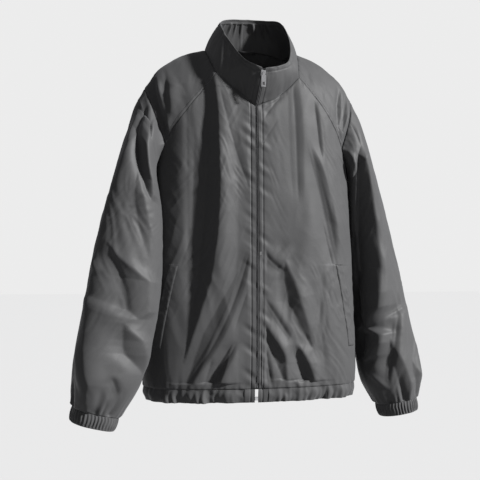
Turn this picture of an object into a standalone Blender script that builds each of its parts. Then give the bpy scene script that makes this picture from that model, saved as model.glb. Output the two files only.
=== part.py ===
"""A zip-up windbreaker jacket in its worn shape, hollow, sewn from thin cloth pieces.

Metres, +Z up, the front faces -Y, the wearer's right is -X.  The origin is between the
shoulders, level with the tops of the shoulder panels where they meet the collar.
Every cloth piece is a grid of points on the outside of the cloth, given a thickness
towards the inside.  Neighbouring pieces share the points of their seam.
"""
import math

import bmesh
import bpy
import numpy as np

# ---- sizes of the whole garment ----
CLOTH = 0.0015          # thickness of a cloth wall
SEAM_GAP = 0.0003       # space left between neighbouring pieces
ROUNDNESS = 2.3         # power of the body's superellipse sections (2 is an ellipse)
SLEEVE_ROUNDNESS = 2.1
HEM_HEIGHT = -0.692     # bottom edge of the hem band
BAND = 0.025            # height of the hem band and of the cuffs
ZIP_OFFSET = -0.008     # the zip hangs a little to the wearer's right
ZIP_EDGE = 0.0035       # from the zip's centre line to the turned edge of each front
HEM_TAB = 0.020         # width of the plain tabs of the hem band
ARM_GAP = 0.007         # smallest space between a sleeve and the body
CUFF_DRAW = 0.06        # share by which a cuff is drawn in by its elastic

BODY_CENTRE = (0.0, 0.0, -0.2)       # places inside the body and the collar, which
COLLAR_CENTRE = (0.0, -0.02, 0.0)    # their cloth faces away from

# ---- how many grid steps each piece has ----
NECK_STEPS = 4          # front neck seam, from the zip to the shoulder panel
RAGLAN_STEPS = 5        # seam between front and shoulder panel
UNDERARM_STEPS = 4      # armhole seam from the shoulder panel to the side seam
OVER_STEPS = 12         # over the shoulder, from the front seam to the back seam
BODY_ROWS = 14
COLLAR_ROWS = 4
BAND_ROWS = 2
SLEEVE_ROWS = 16

# ---- body sections: height, half width, half depth ----
BODY = np.array([
    (-0.692, 0.211, 0.086),
    (-0.667, 0.215, 0.090),
    (-0.600, 0.216, 0.094),
    (-0.500, 0.212, 0.095),
    (-0.400, 0.207, 0.095),
    (-0.300, 0.201, 0.094),
    (-0.200, 0.197, 0.091),
    (-0.120, 0.192, 0.084),
    (-0.060, 0.182, 0.070),
    (0.000, 0.170, 0.049),
    (0.030, 0.164, 0.042),
])

# ---- top edge of each front: distance across from the centre, height ----
FRONT_NECK = np.array([(0.0, -0.122), (0.031, -0.106), (0.060, -0.084), (0.083, -0.060)])
FRONT_RAGLAN = np.array([(0.083, -0.060), (0.109, -0.090), (0.136, -0.124), (0.161, -0.161), (0.179, -0.196)])
FRONT_UNDERARM = np.array([(0.179, -0.196), (0.190, -0.222), (0.1985, -0.236)])

# ---- top edge of the back ----
BACK_NECK = np.array([(0.0, 0.012), (0.045, 0.009), (0.080, -0.001)])
BACK_RAGLAN = np.array([(0.080, -0.001), (0.112, -0.055), (0.140, -0.105), (0.164, -0.152), (0.179, -0.188)])
BACK_UNDERARM = np.array([(0.179, -0.188), (0.190, -0.218), (0.1985, -0.236)])

# ---- line along the top of the shoulder: share of its length, across, height ----
SHOULDER = np.array([
    (0.00, 0.094, 0.000),
    (0.25, 0.130, -0.010),
    (0.50, 0.160, -0.025),
    (0.75, 0.190, -0.048),
    (1.00, 0.215, -0.083),
])
LEFT_DROP = (0.004, 0.010)   # the wearer's left shoulder hangs in and lower by this at the sleeve
SHOULDER_FULLNESS = (0.004, 0.015)   # roundness of the panel at the neck and at the sleeve
FULLNESS_WAY = (0.3, 0.7, 0.7)       # its share outwards to the side, forwards and upwards

# ---- collar rim: turn from the front in degrees, height on the right and on the left ----
COLLAR_RIM = np.array([
    (0.0, -0.056, -0.056), (30.0, -0.038, -0.047), (60.0, 0.003, -0.028), (90.0, 0.040, 0.020),
    (120.0, 0.060, 0.062), (150.0, 0.071, 0.072), (180.0, 0.075, 0.075),
])
RIM_CENTRE = (0.001, -0.041)
RIM_HALF_WIDTH = 0.0705
RIM_HALF_DEPTH = 0.071
COLLAR_BULGE = 0.004

# ---- how a sleeve starts: shares of its length and a turn round its ring ----
ARMHOLE_BLEND = 0.25    # the armhole's own shape fades into the round section over this share
FOLDS_FADE = 0.06       # the folds grow from nothing over this share
GAP_FADE = 0.15         # and so does the space kept beside the body
NOTCH_TURN = 0.6 * math.pi   # place of the shoulder panel's corner on the ring

# ---- sleeve sections: share of the length, outer edge across and height,
#      inner edge across and height, centre in depth, half depth ----
RIGHT_SLEEVE = np.array([
    (0.00, 0.215, -0.083, 0.1985, -0.236, 0.000, 0.055),
    (0.06, 0.232, -0.110, 0.199, -0.246, -0.006, 0.060),
    (0.14, 0.250, -0.160, 0.196, -0.262, -0.018, 0.062),
    (0.25, 0.272, -0.229, 0.190, -0.295, -0.033, 0.060),
    (0.40, 0.300, -0.325, 0.184, -0.362, -0.044, 0.057),
    (0.55, 0.322, -0.420, 0.185, -0.445, -0.050, 0.058),
    (0.70, 0.340, -0.515, 0.196, -0.530, -0.056, 0.060),
    (0.82, 0.354, -0.585, 0.212, -0.600, -0.062, 0.061),
    (0.92, 0.361, -0.642, 0.232, -0.660, -0.066, 0.056),
    (1.00, 0.356, -0.691, 0.268, -0.715, -0.068, 0.038),
])
LEFT_SLEEVE = np.array([
    (0.00, 0.211, -0.093, 0.1985, -0.236, 0.000, 0.055),
    (0.06, 0.227, -0.122, 0.199, -0.248, 0.002, 0.058),
    (0.14, 0.243, -0.170, 0.198, -0.264, 0.008, 0.060),
    (0.25, 0.264, -0.232, 0.196, -0.300, 0.018, 0.059),
    (0.40, 0.293, -0.330, 0.199, -0.368, 0.024, 0.057),
    (0.55, 0.317, -0.425, 0.207, -0.450, 0.022, 0.057),
    (0.70, 0.336, -0.522, 0.218, -0.537, 0.014, 0.057),
    (0.82, 0.353, -0.605, 0.226, -0.612, 0.006, 0.057),
    (0.92, 0.358, -0.655, 0.237, -0.668, 0.000, 0.052),
    (1.00, 0.350, -0.702, 0.266, -0.716, -0.002, 0.038),
])

# ---- largest folds of the fronts and the back ----
# across and height at the start, across and height at the end, half width, depth
FRONT_FOLDS = np.array([
    (-0.105, -0.10, -0.110, -0.50, 0.016, -0.008),
    (-0.110, -0.48, -0.140, -0.64, 0.014, -0.007),
    (-0.075, -0.16, -0.035, -0.30, 0.018, -0.005),
    (-0.030, -0.42, -0.115, -0.66, 0.014, -0.007),
    (-0.072, -0.12, -0.072, -0.60, 0.016, 0.005),
    (0.075, -0.10, 0.080, -0.34, 0.018, -0.004),
    (0.115, -0.20, 0.150, -0.42, 0.014, -0.007),
    (0.020, -0.42, 0.110, -0.60, 0.014, -0.006),
    (0.015, -0.56, 0.045, -0.64, 0.011, -0.006),
    (0.105, -0.30, 0.060, -0.55, 0.020, 0.004),
])
BACK_FOLDS = np.array([
    (-0.060, -0.12, -0.075, -0.60, 0.018, -0.006),
    (0.050, -0.10, 0.085, -0.52, 0.018, -0.006),
    (0.000, -0.25, 0.010, -0.66, 0.020, 0.005),
    (-0.130, -0.22, -0.115, -0.55, 0.016, 0.004),
    (0.130, -0.25, 0.125, -0.64, 0.016, -0.005),
])
ZIP_FADE = 0.040        # and grow from the zip tape outwards over this distance
SIDE_FADE = 0.030       # folds die out this near the side seams, measured in depth

# ---- largest folds of the sleeves: around and along (metres, around from the outer edge,
#      the front being positive) at the start and at the end, half width, depth ----
SLEEVE_AROUND = 0.40
SLEEVE_ALONG = 0.64
RIGHT_SLEEVE_FOLDS = np.array([
    (0.110, 0.02, 0.075, 0.13, 0.014, -0.007),
    (0.050, 0.05, 0.080, 0.36, 0.016, 0.006),
    (0.020, 0.34, 0.150, 0.45, 0.014, -0.007),
    (0.070, 0.50, 0.160, 0.58, 0.012, -0.007),
    (-0.080, 0.10, -0.110, 0.40, 0.018, -0.006),
    (-0.050, 0.45, -0.130, 0.57, 0.014, -0.006),
])
LEFT_SLEEVE_FOLDS = np.array([
    (0.085, 0.05, 0.090, 0.36, 0.014, 0.006),
    (0.040, 0.04, 0.060, 0.42, 0.018, -0.008),
    (0.110, 0.44, 0.030, 0.48, 0.013, -0.007),
    (0.020, 0.42, 0.050, 0.58, 0.012, -0.005),
    (-0.080, 0.10, -0.110, 0.40, 0.018, -0.006),
    (-0.050, 0.45, -0.130, 0.57, 0.014, -0.006),
])

# ---- pocket welts: across and height of the upper and lower end ----
WELT_TOP = (0.171, -0.428)
WELT_BOTTOM = (0.203, -0.592)
WELT_WIDTH = 0.015
WELT_STEPS = 12

# ---- zip ----
TAPE_OUTER = 0.012      # width of tape hidden behind each front's edge
COIL_GAP = 0.00025      # half the space between the two coils
COIL_WIDTH = 0.0025
COIL_THICKNESS = 0.0018
TAPE_THICKNESS = 0.001
COIL_DEPTH = 0.0006     # from the outside of the cloth back to the coils
EDGE_COLUMNS = 5        # columns of each front that the tape reaches
RETAINER = (0.0056, 0.0065, 0.0044)   # width, height and thickness of the bottom retainer
RETAINER_DEPTH = 0.0016
SLIDER_PLACE = 0.45     # share of the way up the collar's last row to the slider's middle

# ---- slider's blocks: name, whether it slants with the zip, width, length, thickness, and
#      the place of its middle across, along the zip and outwards ----
SLIDER_BLOCKS = (
    ("zip_slider", True, 0.009, 0.011, 0.0014, 0.0, 0.0, 0.0016),
    ("slider_back", True, 0.009, 0.011, 0.0014, 0.0, 0.0, -0.0052),
    ("slider_post", True, 0.0036, 0.0036, 0.0074, 0.0, 0.0035, -0.0018),
    ("slider_lug_right", False, 0.0010, 0.0034, 0.0040, -0.0027, 0.0, 0.0041),
    ("slider_lug_left", False, 0.0010, 0.0034, 0.0040, 0.0027, 0.0, 0.0041),
)
PIN_RADIUS = 0.0006
PIN_LENGTH = 0.0054
PIN_PLAY = 0.0004       # space between the pin and the pull's curl
PIN_HEIGHT = 0.0050     # from the slider's centre out to its pin
PIN_SIDES = 16

# ---- pull tab ----
PULL_LENGTH = 0.023
PULL_WIDTH = 0.0088
PULL_NECK = 0.0036      # width where it is curled round the pin
PULL_THICKNESS = 0.0014
PULL_SLOT = (0.0042, 0.0062)   # width and height of the slot near its end
SLOT_MARGIN = 0.003     # from the end of the tab up to the slot
CURL_TURNS = (-75, 196, 30)    # degrees: where the curl starts, ends, and its steps

# ---- hanger loop ----
LOOP_WIDTH = 0.034
LOOP_BASE = 0.0036      # from the outside of the neck seam to the loop's ends
LOOP_REACH = 0.0062     # and from there to its middle
LOOP_DROP = 0.003       # the middle hangs this much below the ends
LOOP_STRIP = 0.003      # width of the strip
LOOP_COLUMNS = 13


# ---------------------------------------------------------------- small helpers

def unit(vector):
    return vector / max(np.linalg.norm(vector), 1e-12)


def smooth(table, at):
    """Other columns of a table at a value of its first column, joined by a smooth curve."""
    knots = table[:, 0]
    values = table[:, 1:]
    slopes = np.gradient(values, knots, axis=0)
    i = int(np.clip(np.searchsorted(knots, at) - 1, 0, len(knots) - 2))
    step = knots[i + 1] - knots[i]
    t = (at - knots[i]) / step
    start = (2 * t**3 - 3 * t**2 + 1) * values[i] + (t**3 - 2 * t**2 + t) * step * slopes[i]
    end = (3 * t**2 - 2 * t**3) * values[i + 1] + (t**3 - t**2) * step * slopes[i + 1]
    return start + end


def along(points, steps):
    """Evenly spaced points on the smooth curve through a short list of points."""
    points = np.asarray(points, float)
    lengths = np.r_[0.0, np.cumsum(np.linalg.norm(np.diff(points, axis=0), axis=1))]
    table = np.column_stack([lengths, points])
    return [smooth(table, at) for at in np.linspace(0.0, lengths[-1], steps + 1)]


def soft_step(value):
    t = min(max(value, 0.0), 1.0)
    return t * t * (3 - 2 * t)


def fold_height(across, height, folds):
    """Height of the folds over a flat place: each is a soft ridge or trough along a line."""
    total = 0.0
    for x0, z0, x1, z1, half_width, depth in folds:
        length = math.hypot(x1 - x0, z1 - z0)
        way = ((across - x0) * (x1 - x0) + (height - z0) * (z1 - z0)) / length
        off = ((across - x0) * (z1 - z0) - (height - z0) * (x1 - x0)) / length
        fade = soft_step(0.5 + way / (2 * half_width)) * soft_step(0.5 + (length - way) / (2 * half_width))
        total += depth * fade * math.exp(-((off / half_width) ** 2))
    return total


# ---------------------------------------------------------------- body form

def body_turn(across, height):
    """Turn round the body, from the centre front, of a place given by its distance across."""
    half_width = smooth(BODY, height)[0]
    share = min(abs(across) / half_width, 1.0)
    return math.copysign(math.asin(share ** (ROUNDNESS / 2)), across)


def body_point(turn, height, outward=0.0):
    """Point on the outside of the body at a turn from the centre front and a height."""
    half_width, half_depth = smooth(BODY, height)
    side = math.sin(turn)
    front = math.cos(turn)
    x = half_width * math.copysign(abs(side) ** (2 / ROUNDNESS), side)
    y = -half_depth * math.copysign(abs(front) ** (2 / ROUNDNESS), front)
    normal = unit(np.array([x / half_width**2, y / half_depth**2]))
    folds = fold_height(x, height, FRONT_FOLDS if y < 0 else BACK_FOLDS) * soft_step(abs(y) / SIDE_FADE)
    if y < 0:
        folds *= soft_step((abs(x - ZIP_OFFSET) - HEM_TAB) / ZIP_FADE)
    out = outward + folds
    return np.array([x + normal[0] * out, y + normal[1] * out, height])


def body_columns(lower_turns, upper):
    """Grid of body points, a column for each place (turn, height) on the upper edge."""
    columns = []
    shares = np.linspace(0.0, 1.0, BODY_ROWS + 1)
    bottom = HEM_HEIGHT + BAND
    for low, (high, top) in zip(lower_turns, upper):
        columns.append([body_point(low + (high - low) * s, bottom + (top - bottom) * s) for s in shares])
    return np.array(columns)


def front_edge(side):
    """Distance across of the turned zip edge of a front."""
    return ZIP_OFFSET + side * ZIP_EDGE


def front_top(side):
    """Upper edge of a front as (turn, height): neck, shoulder panel seam, armhole."""
    neck = FRONT_NECK.copy()
    neck[0, 0] = side * front_edge(side)
    places = along(neck, NECK_STEPS) + along(FRONT_RAGLAN, RAGLAN_STEPS)[1:]
    places += along(FRONT_UNDERARM, UNDERARM_STEPS)[1:]
    edge = [(body_turn(side * across, height), height) for across, height in places]
    edge[-1] = (side * math.pi / 2, places[-1][1])
    return edge


def back_top():
    """Upper edge of the back as (turn, height), from the wearer's left side to the right."""
    half = along(BACK_NECK, NECK_STEPS) + along(BACK_RAGLAN, RAGLAN_STEPS)[1:]
    half += along(BACK_UNDERARM, UNDERARM_STEPS)[1:]
    left = [(math.pi - body_turn(across, height), height) for across, height in half]
    left[-1] = (math.pi / 2, half[-1][1])
    right = [(2 * math.pi - turn, height) for turn, height in left]
    return left[::-1] + right[1:]


def front_grid(side):
    top = front_top(side)
    return body_columns(hem_turns(side), top)


def back_grid():
    top = back_top()
    return body_columns(np.linspace(math.pi / 2, 3 * math.pi / 2, len(top)), top)


# ---------------------------------------------------------------- shoulder panels

def back_seam(side, back):
    """Back seam of a shoulder panel, from the collar to the sleeve."""
    outer = UNDERARM_STEPS if side > 0 else len(back) - 1 - UNDERARM_STEPS
    inner = outer + side * RAGLAN_STEPS
    return back[inner:outer - side:-side, -1]


def shoulder_grid(side, front, back):
    """Panel over the shoulder: ribs from the front seam over the top to the back seam."""
    front_seam = front[NECK_STEPS:NECK_STEPS + RAGLAN_STEPS + 1, -1]
    ribs = []
    shares = np.linspace(0.0, 1.0, RAGLAN_STEPS + 1)
    for share, before, behind in zip(shares, front_seam, back_seam(side, back)):
        across, height = smooth(SHOULDER, share)
        if side > 0:
            across -= LEFT_DROP[0] * share
            height -= LEFT_DROP[1] * share
        top = np.array([side * across, 0.0, height])
        fullness = SHOULDER_FULLNESS[0] + (SHOULDER_FULLNESS[1] - SHOULDER_FULLNESS[0]) * share
        sideways, ahead, upwards = FULLNESS_WAY
        rise = np.array([sideways * side, 0.0, upwards]) * fullness
        forward = np.array([0.0, -ahead, 0.0]) * fullness
        path = [before, (before + top) / 2 + rise + forward, top, (behind + top) / 2 + rise - forward, behind]
        ribs.append(along(path, OVER_STEPS))
    return np.array(ribs)


# ---------------------------------------------------------------- sleeves and cuffs

def armhole(side, front, back, shoulder):
    """Armhole seam as a closed loop: from the top down the front, under the arm and up the back."""
    middle = OVER_STEPS // 2
    rib = list(shoulder[-1])
    front_part = list(front[NECK_STEPS + RAGLAN_STEPS + 1:, -1])
    if side > 0:
        back_part = list(back[1:UNDERARM_STEPS, -1])
    else:
        back_part = list(back[-2:-1 - UNDERARM_STEPS:-1, -1])
    return np.array(rib[middle::-1] + front_part + back_part + rib[:middle:-1])


def clear_of_body(point, gap):
    """Push a point out of the body form so that it stays this far from it."""
    half_width, half_depth = smooth(BODY, point[2])
    reach = (abs(point[0] / (half_width + gap)) ** ROUNDNESS
             + abs(point[1] / (half_depth + gap)) ** ROUNDNESS) ** (1 / ROUNDNESS)
    if reach < 1.0:
        return np.array([point[0] / reach, point[1] / reach, point[2]])
    return point


def sleeve_ring(side, share, turns, sections, folds):
    """One ring of a sleeve, at a share of its length; turns start at the outer edge."""
    outer_x, outer_z, inner_x, inner_z, centre_y, half_depth = smooth(sections, share)
    centre = np.array([side * (outer_x + inner_x) / 2, centre_y, (outer_z + inner_z) / 2])
    outer = np.array([side * (outer_x - inner_x) / 2, 0.0, (outer_z - inner_z) / 2])
    forward = np.array([0.0, -half_depth, 0.0])
    ring = []
    for turn in turns:
        a, b = math.cos(turn), math.sin(turn)
        a = math.copysign(abs(a) ** (2 / SLEEVE_ROUNDNESS), a)
        b = math.copysign(abs(b) ** (2 / SLEEVE_ROUNDNESS), b)
        reach = outer * a + forward * b
        around = SLEEVE_AROUND * (turn if turn < math.pi else turn - 2 * math.pi) / (2 * math.pi)
        height = fold_height(around, share * SLEEVE_ALONG, folds) * soft_step(share / FOLDS_FADE)
        ring.append(centre + reach + unit(reach) * height)
    return np.array(ring)


def sleeve_grid(side, loop, sections, folds):
    """Sleeve from the armhole seam to the cuff, as rings of points."""
    down = list(np.linspace(0.0, NOTCH_TURN, OVER_STEPS // 2 + 1))
    down += list(np.linspace(NOTCH_TURN, math.pi, UNDERARM_STEPS + 1)[1:])
    turns = down + [2 * math.pi - turn for turn in down[-2:0:-1]]
    start = loop - sleeve_ring(side, 0.0, turns, sections, folds)
    rings = []
    for share in np.linspace(0.0, 1.0, SLEEVE_ROWS + 1):
        ring = sleeve_ring(side, share, turns, sections, folds)
        ring = ring + start * max(0.0, 1 - share / ARMHOLE_BLEND) ** 2
        gap = ARM_GAP * soft_step(share / GAP_FADE)
        rings.append([clear_of_body(point, gap) for point in ring] if share > 0 else ring)
    return np.array(rings).transpose(1, 0, 2)


def cuff_grid(sleeve):
    """Cuff: carries on from the sleeve's last ring, drawn in a little by its elastic."""
    last = sleeve[:, -1]
    centre = last.mean(axis=0)
    way = unit(centre - sleeve[:, -3].mean(axis=0))
    shares = np.linspace(0.0, 1.0, BAND_ROWS + 1)
    rings = [centre + (last - centre) * (1 - CUFF_DRAW * s) + way * BAND * s for s in shares]
    return np.array(rings).transpose(1, 0, 2)


# ---------------------------------------------------------------- collar and hem

def neck_seam(fronts, back, shoulders):
    """Neck seam from the right edge of the zip, round the back, to its left edge."""
    right = list(fronts[-1][:NECK_STEPS, -1]) + list(shoulders[-1][0])
    first = UNDERARM_STEPS + RAGLAN_STEPS
    behind = list(back[first + 1:first + 2 * NECK_STEPS, -1][::-1])
    left = list(shoulders[1][0][::-1]) + list(fronts[1][:NECK_STEPS, -1][::-1])
    return np.array(right + behind + left)


def collar_grid(seam):
    """Stand collar: a column for each point of the neck seam, up to the sloping rim."""
    lengths = np.r_[0.0, np.cumsum(np.linalg.norm(np.diff(seam, axis=0), axis=1))]
    edge = math.asin(ZIP_EDGE / RIM_HALF_WIDTH)
    turns = edge + (2 * math.pi - 2 * edge) * lengths / lengths[-1]
    columns = []
    for foot, turn in zip(seam, turns):
        outward = np.array([-math.sin(turn), -math.cos(turn), 0.0])
        right_height, left_height = smooth(COLLAR_RIM, math.degrees(min(turn, 2 * math.pi - turn)))
        height = right_height if turn < math.pi else left_height
        rim = np.array([RIM_CENTRE[0] + RIM_HALF_WIDTH * outward[0],
                        RIM_CENTRE[1] + RIM_HALF_DEPTH * outward[1], height])
        columns.append([foot + (rim - foot) * s + outward * COLLAR_BULGE * math.sin(math.pi * s)
                        for s in np.linspace(0.0, 1.0, COLLAR_ROWS + 1)])
    return np.array(columns)


def hem_turns(side):
    """Turns of the lower ends of a front's columns: the hem tab, then even steps to the side."""
    bottom = HEM_HEIGHT + BAND
    steps = NECK_STEPS + RAGLAN_STEPS + UNDERARM_STEPS
    tab = body_turn(front_edge(side) + side * HEM_TAB, bottom)
    return [body_turn(front_edge(side), bottom)] + list(np.linspace(tab, side * math.pi / 2, steps))


def band_columns(turns):
    heights = np.linspace(HEM_HEIGHT, HEM_HEIGHT + BAND, BAND_ROWS + 1)
    return np.array([[body_point(turn, height) for height in heights] for turn in turns])


# ---------------------------------------------------------------- cloth walls

def grid_normals(grid, centre, closed):
    """Outward normal at each point of a grid."""
    if closed:
        around = np.roll(grid, -1, axis=0) - np.roll(grid, 1, axis=0)
    else:
        around = np.gradient(grid, axis=0)
    normals = np.cross(around, np.gradient(grid, axis=1))
    normals /= np.maximum(np.linalg.norm(normals, axis=2, keepdims=True), 1e-12)
    if (normals * (grid - centre)).sum() < 0:
        normals = -normals
    return normals


def seam_key(point):
    return tuple(np.round(point, 6))


def thickness_vectors(pieces):
    """For every piece, the way through the cloth at each point; pieces share it at their seams."""
    totals = {}
    normals = {}
    for name, (grid, centre, closed) in pieces.items():
        normals[name] = grid_normals(grid, centre, closed)
        for point, normal in zip(grid.reshape(-1, 3), normals[name].reshape(-1, 3)):
            total = totals.setdefault(seam_key(point), [np.zeros(3), 0])
            total[0] += normal
            total[1] += 1
    vectors = {}
    for name, (grid, _, _) in pieces.items():
        through = np.zeros_like(grid)
        for index in np.ndindex(grid.shape[:2]):
            total, count = totals[seam_key(grid[index])]
            through[index] = unit(total) / max(np.linalg.norm(total) / count, 0.5)
        vectors[name] = through
    return vectors


def trimmed(grid, closed):
    """Draw the edges of a grid in by half a seam gap."""
    out = grid.copy()
    for edge, inside in ((0, 1), (-1, -2)):
        step = grid[:, inside] - grid[:, edge]
        out[:, edge] += step / np.linalg.norm(step, axis=1, keepdims=True) * SEAM_GAP / 2
    if not closed:
        for edge, inside in ((0, 1), (-1, -2)):
            step = out[inside] - out[edge]
            out[edge] += step / np.linalg.norm(step, axis=1, keepdims=True) * SEAM_GAP / 2
    return out


def wall(name, outside, inside, material, closed=False):
    """A closed solid between two grids of points."""
    mesh = bmesh.new()
    layers = [[[mesh.verts.new(point) for point in column] for column in layer]
              for layer in (outside, inside)]
    columns, rows = outside.shape[:2]
    last = columns if closed else columns - 1
    for layer in layers:
        for i in range(last):
            for j in range(rows - 1):
                following = layer[(i + 1) % columns]
                mesh.faces.new((layer[i][j], following[j], following[j + 1], layer[i][j + 1]))
    out, inn = layers
    for i in range(last):
        k = (i + 1) % columns
        for j in (0, rows - 1):
            mesh.faces.new((out[i][j], out[k][j], inn[k][j], inn[i][j]))
    if not closed:
        for i in (0, columns - 1):
            for j in range(rows - 1):
                mesh.faces.new((out[i][j], out[i][j + 1], inn[i][j + 1], inn[i][j]))
    return finish(name, mesh, material)


def finish(name, mesh, material):
    """Turn a bmesh into a named object with its faces outward and its material."""
    bmesh.ops.recalc_face_normals(mesh, faces=mesh.faces)
    data = bpy.data.meshes.new(name)
    mesh.to_mesh(data)
    mesh.free()
    data.materials.append(material)
    piece = bpy.data.objects.new(name, data)
    bpy.context.scene.collection.objects.link(piece)
    return piece


def surface(name, colour, roughness, metallic=0.0):
    material = bpy.data.materials.new(name)
    material.use_nodes = True
    shader = material.node_tree.nodes["Principled BSDF"]
    shader.inputs["Base Color"].default_value = (*colour, 1.0)
    shader.inputs["Roughness"].default_value = roughness
    shader.inputs["Metallic"].default_value = metallic
    return material


# ---------------------------------------------------------------- pockets, zip, loop

def welt_layers(side):
    """Pocket welt: a strip lying on the front along the slanted mouth."""
    rows = []
    start, end = np.array(WELT_TOP), np.array(WELT_BOTTOM)
    for share in np.linspace(0.0, 1.0, WELT_STEPS + 1):
        across, height = start + (end - start) * share
        rows.append([(side * (across - WELT_WIDTH * k), height) for k in (1.0, 0.5, 0.0)])
    layers = []
    for outward in (SEAM_GAP + CLOTH, SEAM_GAP):
        layers.append(np.array([[body_point(body_turn(x, z), z, outward) for x, z in row] for row in rows]))
    return layers


def zip_edge(grids, throughs):
    """Rows of cloth beside the zip, from the hem to the rim: their first points and ways through."""
    points, ways = [], []
    for grid, through in zip(grids, throughs):
        first = 1 if points else 0
        width = min(len(grid), EDGE_COLUMNS)
        for row in range(first, grid.shape[1]):
            points.append(grid[:width, row])
            ways.append(through[:width, row])
    return points, ways


def beside_zip(edge, distance, depth, rows):
    """Line of points at a distance from the zip's centre line and a depth behind the cloth."""
    line = []
    for points, ways in list(zip(*edge))[rows]:
        steps = np.linalg.norm(np.diff(points, axis=0), axis=1)
        from_edge = distance - ZIP_EDGE
        if from_edge < 0:
            place = points[0] + unit(points[1] - points[0]) * from_edge
            way = ways[0]
        else:
            marks = np.r_[0.0, np.cumsum(steps)]
            place = np.array([np.interp(from_edge, marks, points[:, k]) for k in range(3)])
            way = np.array([np.interp(from_edge, marks, ways[:, k]) for k in range(3)])
        line.append(place - way * depth)
    return line


def strip(name, edge, inner, outer, front, thickness, material, rows=slice(None)):
    """A strip beside the zip between two distances from its centre line."""
    distances = np.linspace(inner, outer, 3)
    outside = np.array([beside_zip(edge, distance, front, rows) for distance in distances])
    inside = np.array([beside_zip(edge, distance, front + thickness, rows) for distance in distances])
    return wall(name, outside, inside, material)


def block(name, size, axes, centre, material):
    """A block with its width, length and thickness along three given directions."""
    mesh = bmesh.new()
    for corner in bmesh.ops.create_cube(mesh, size=1.0)["verts"]:
        shares = np.array(corner.co)
        corner.co = np.array(centre) + sum(axis * length * k for axis, length, k in zip(axes, size, shares))
    return finish(name, mesh, material)


def combine(piece, helper, operation):
    """Join a helper to a piece, or cut it out."""
    change = piece.modifiers.new(helper.name, "BOOLEAN")
    change.operation = operation
    change.solver = "EXACT"
    change.object = helper
    helper.hide_render = True
    helper.display_type = "WIRE"


def pin(name, radius, length, centre, material):
    """A round pin across the zip."""
    mesh = bmesh.new()
    bmesh.ops.create_cone(mesh, cap_ends=True, segments=PIN_SIDES,
                          radius1=radius, radius2=radius, depth=length)
    for corner in mesh.verts:
        x, y, z = corner.co
        corner.co = (centre[0] + z, centre[1] + x, centre[2] + y)
    return finish(name, mesh, material)


def make_slider(edges, material):
    """Zip slider: plates before and behind the coils, a post above them and lugs with a pin."""
    lower, upper = (sum(points[row][0] for points, _ in edges) / 2 for row in (-2, -1))
    centre = lower + (upper - lower) * SLIDER_PLACE
    across = np.array([1.0, 0.0, 0.0])
    level_up = unit((upper - lower) * (0, 1, 1))
    out = np.cross(across, level_up)
    upward = unit(upper - lower)
    level = (across, level_up, out)
    slanted = (np.cross(upward, out), upward, out)
    pieces = []
    for name, tilted, width, length, thickness, *place in SLIDER_BLOCKS:
        axes = slanted if tilted else level
        middle = centre + sum(axis * step for axis, step in zip(axes, place))
        pieces.append(block(name, (width, length, thickness), axes, middle, material))
    axle = centre + out * PIN_HEIGHT
    pieces.append(pin("slider_pin", PIN_RADIUS, PIN_LENGTH, axle, material))
    for helper in pieces[1:]:
        combine(pieces[0], helper, "UNION")
    return axle


def make_pull(axle, material):
    """Pull tab: a strip curled round the pin, widening to a flat tab with a slot, hanging plumb."""
    curl = PIN_RADIUS + PIN_PLAY + PULL_THICKNESS / 2
    turns = np.radians(np.arange(*CURL_TURNS))
    path = [(curl * math.cos(turn), curl * math.sin(turn)) for turn in turns]
    path += [(-curl * 0.8, -curl * 0.9), (0.0, -curl * 1.8)]
    path += [(0.0, -curl * 1.8 - step) for step in np.linspace(0.001, PULL_LENGTH, 8)]
    path = np.array(path)
    ways = np.gradient(path, axis=0)
    ways /= np.linalg.norm(ways, axis=1, keepdims=True)
    sides = np.column_stack([-ways[:, 1], ways[:, 0]])
    layers = []
    for shift in (PULL_THICKNESS / 2, -PULL_THICKNESS / 2):
        line = path + sides * shift
        widths = [PULL_NECK if step > -curl * 2 else PULL_WIDTH for _, step in path]
        layers.append(np.array([[(x * width / 2, y, z) for x in (-1.0, 0.0, 1.0)]
                                for (y, z), width in zip(line, widths)]))
    piece = wall("zip_pull", layers[0], layers[1], material)
    piece.location = axle
    centre = np.array([0.0, 0.0, -curl * 1.8 - PULL_LENGTH + PULL_SLOT[1] / 2 + SLOT_MARGIN]) + axle
    slot = block("pull_slot", (PULL_SLOT[0], PULL_SLOT[1], 0.01),
                 (np.array([1.0, 0, 0]), np.array([0, 0, 1.0]), np.array([0, 1.0, 0])), centre, material)
    combine(piece, slot, "DIFFERENCE")
    return piece


def make_zip(sides, tape, metal):
    """Tapes, coils, bottom retainer, slider and pull."""
    for side, edge in sides.items():
        hand = "left" if side > 0 else "right"
        coil_outer = COIL_GAP + COIL_WIDTH
        strip(hand + "_zip_tape", edge, coil_outer + SEAM_GAP, ZIP_EDGE + TAPE_OUTER,
              CLOTH + 2 * SEAM_GAP, TAPE_THICKNESS, tape)
        strip(hand + "_zip_coil", edge, COIL_GAP, coil_outer, COIL_DEPTH, COIL_THICKNESS, tape,
              slice(1, -1))
    edges = [sides[-1], sides[1]]
    foot = sum(points[0][0] + points[1][0] for points, _ in edges) / 4
    axes = (np.array([1.0, 0, 0]), np.array([0, 0, 1.0]), np.array([0, -1.0, 0]))
    block("zip_retainer", RETAINER, axes, foot + np.array([0.0, RETAINER_DEPTH, 0.0]), metal)
    make_pull(make_slider(edges, metal), metal)


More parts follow.
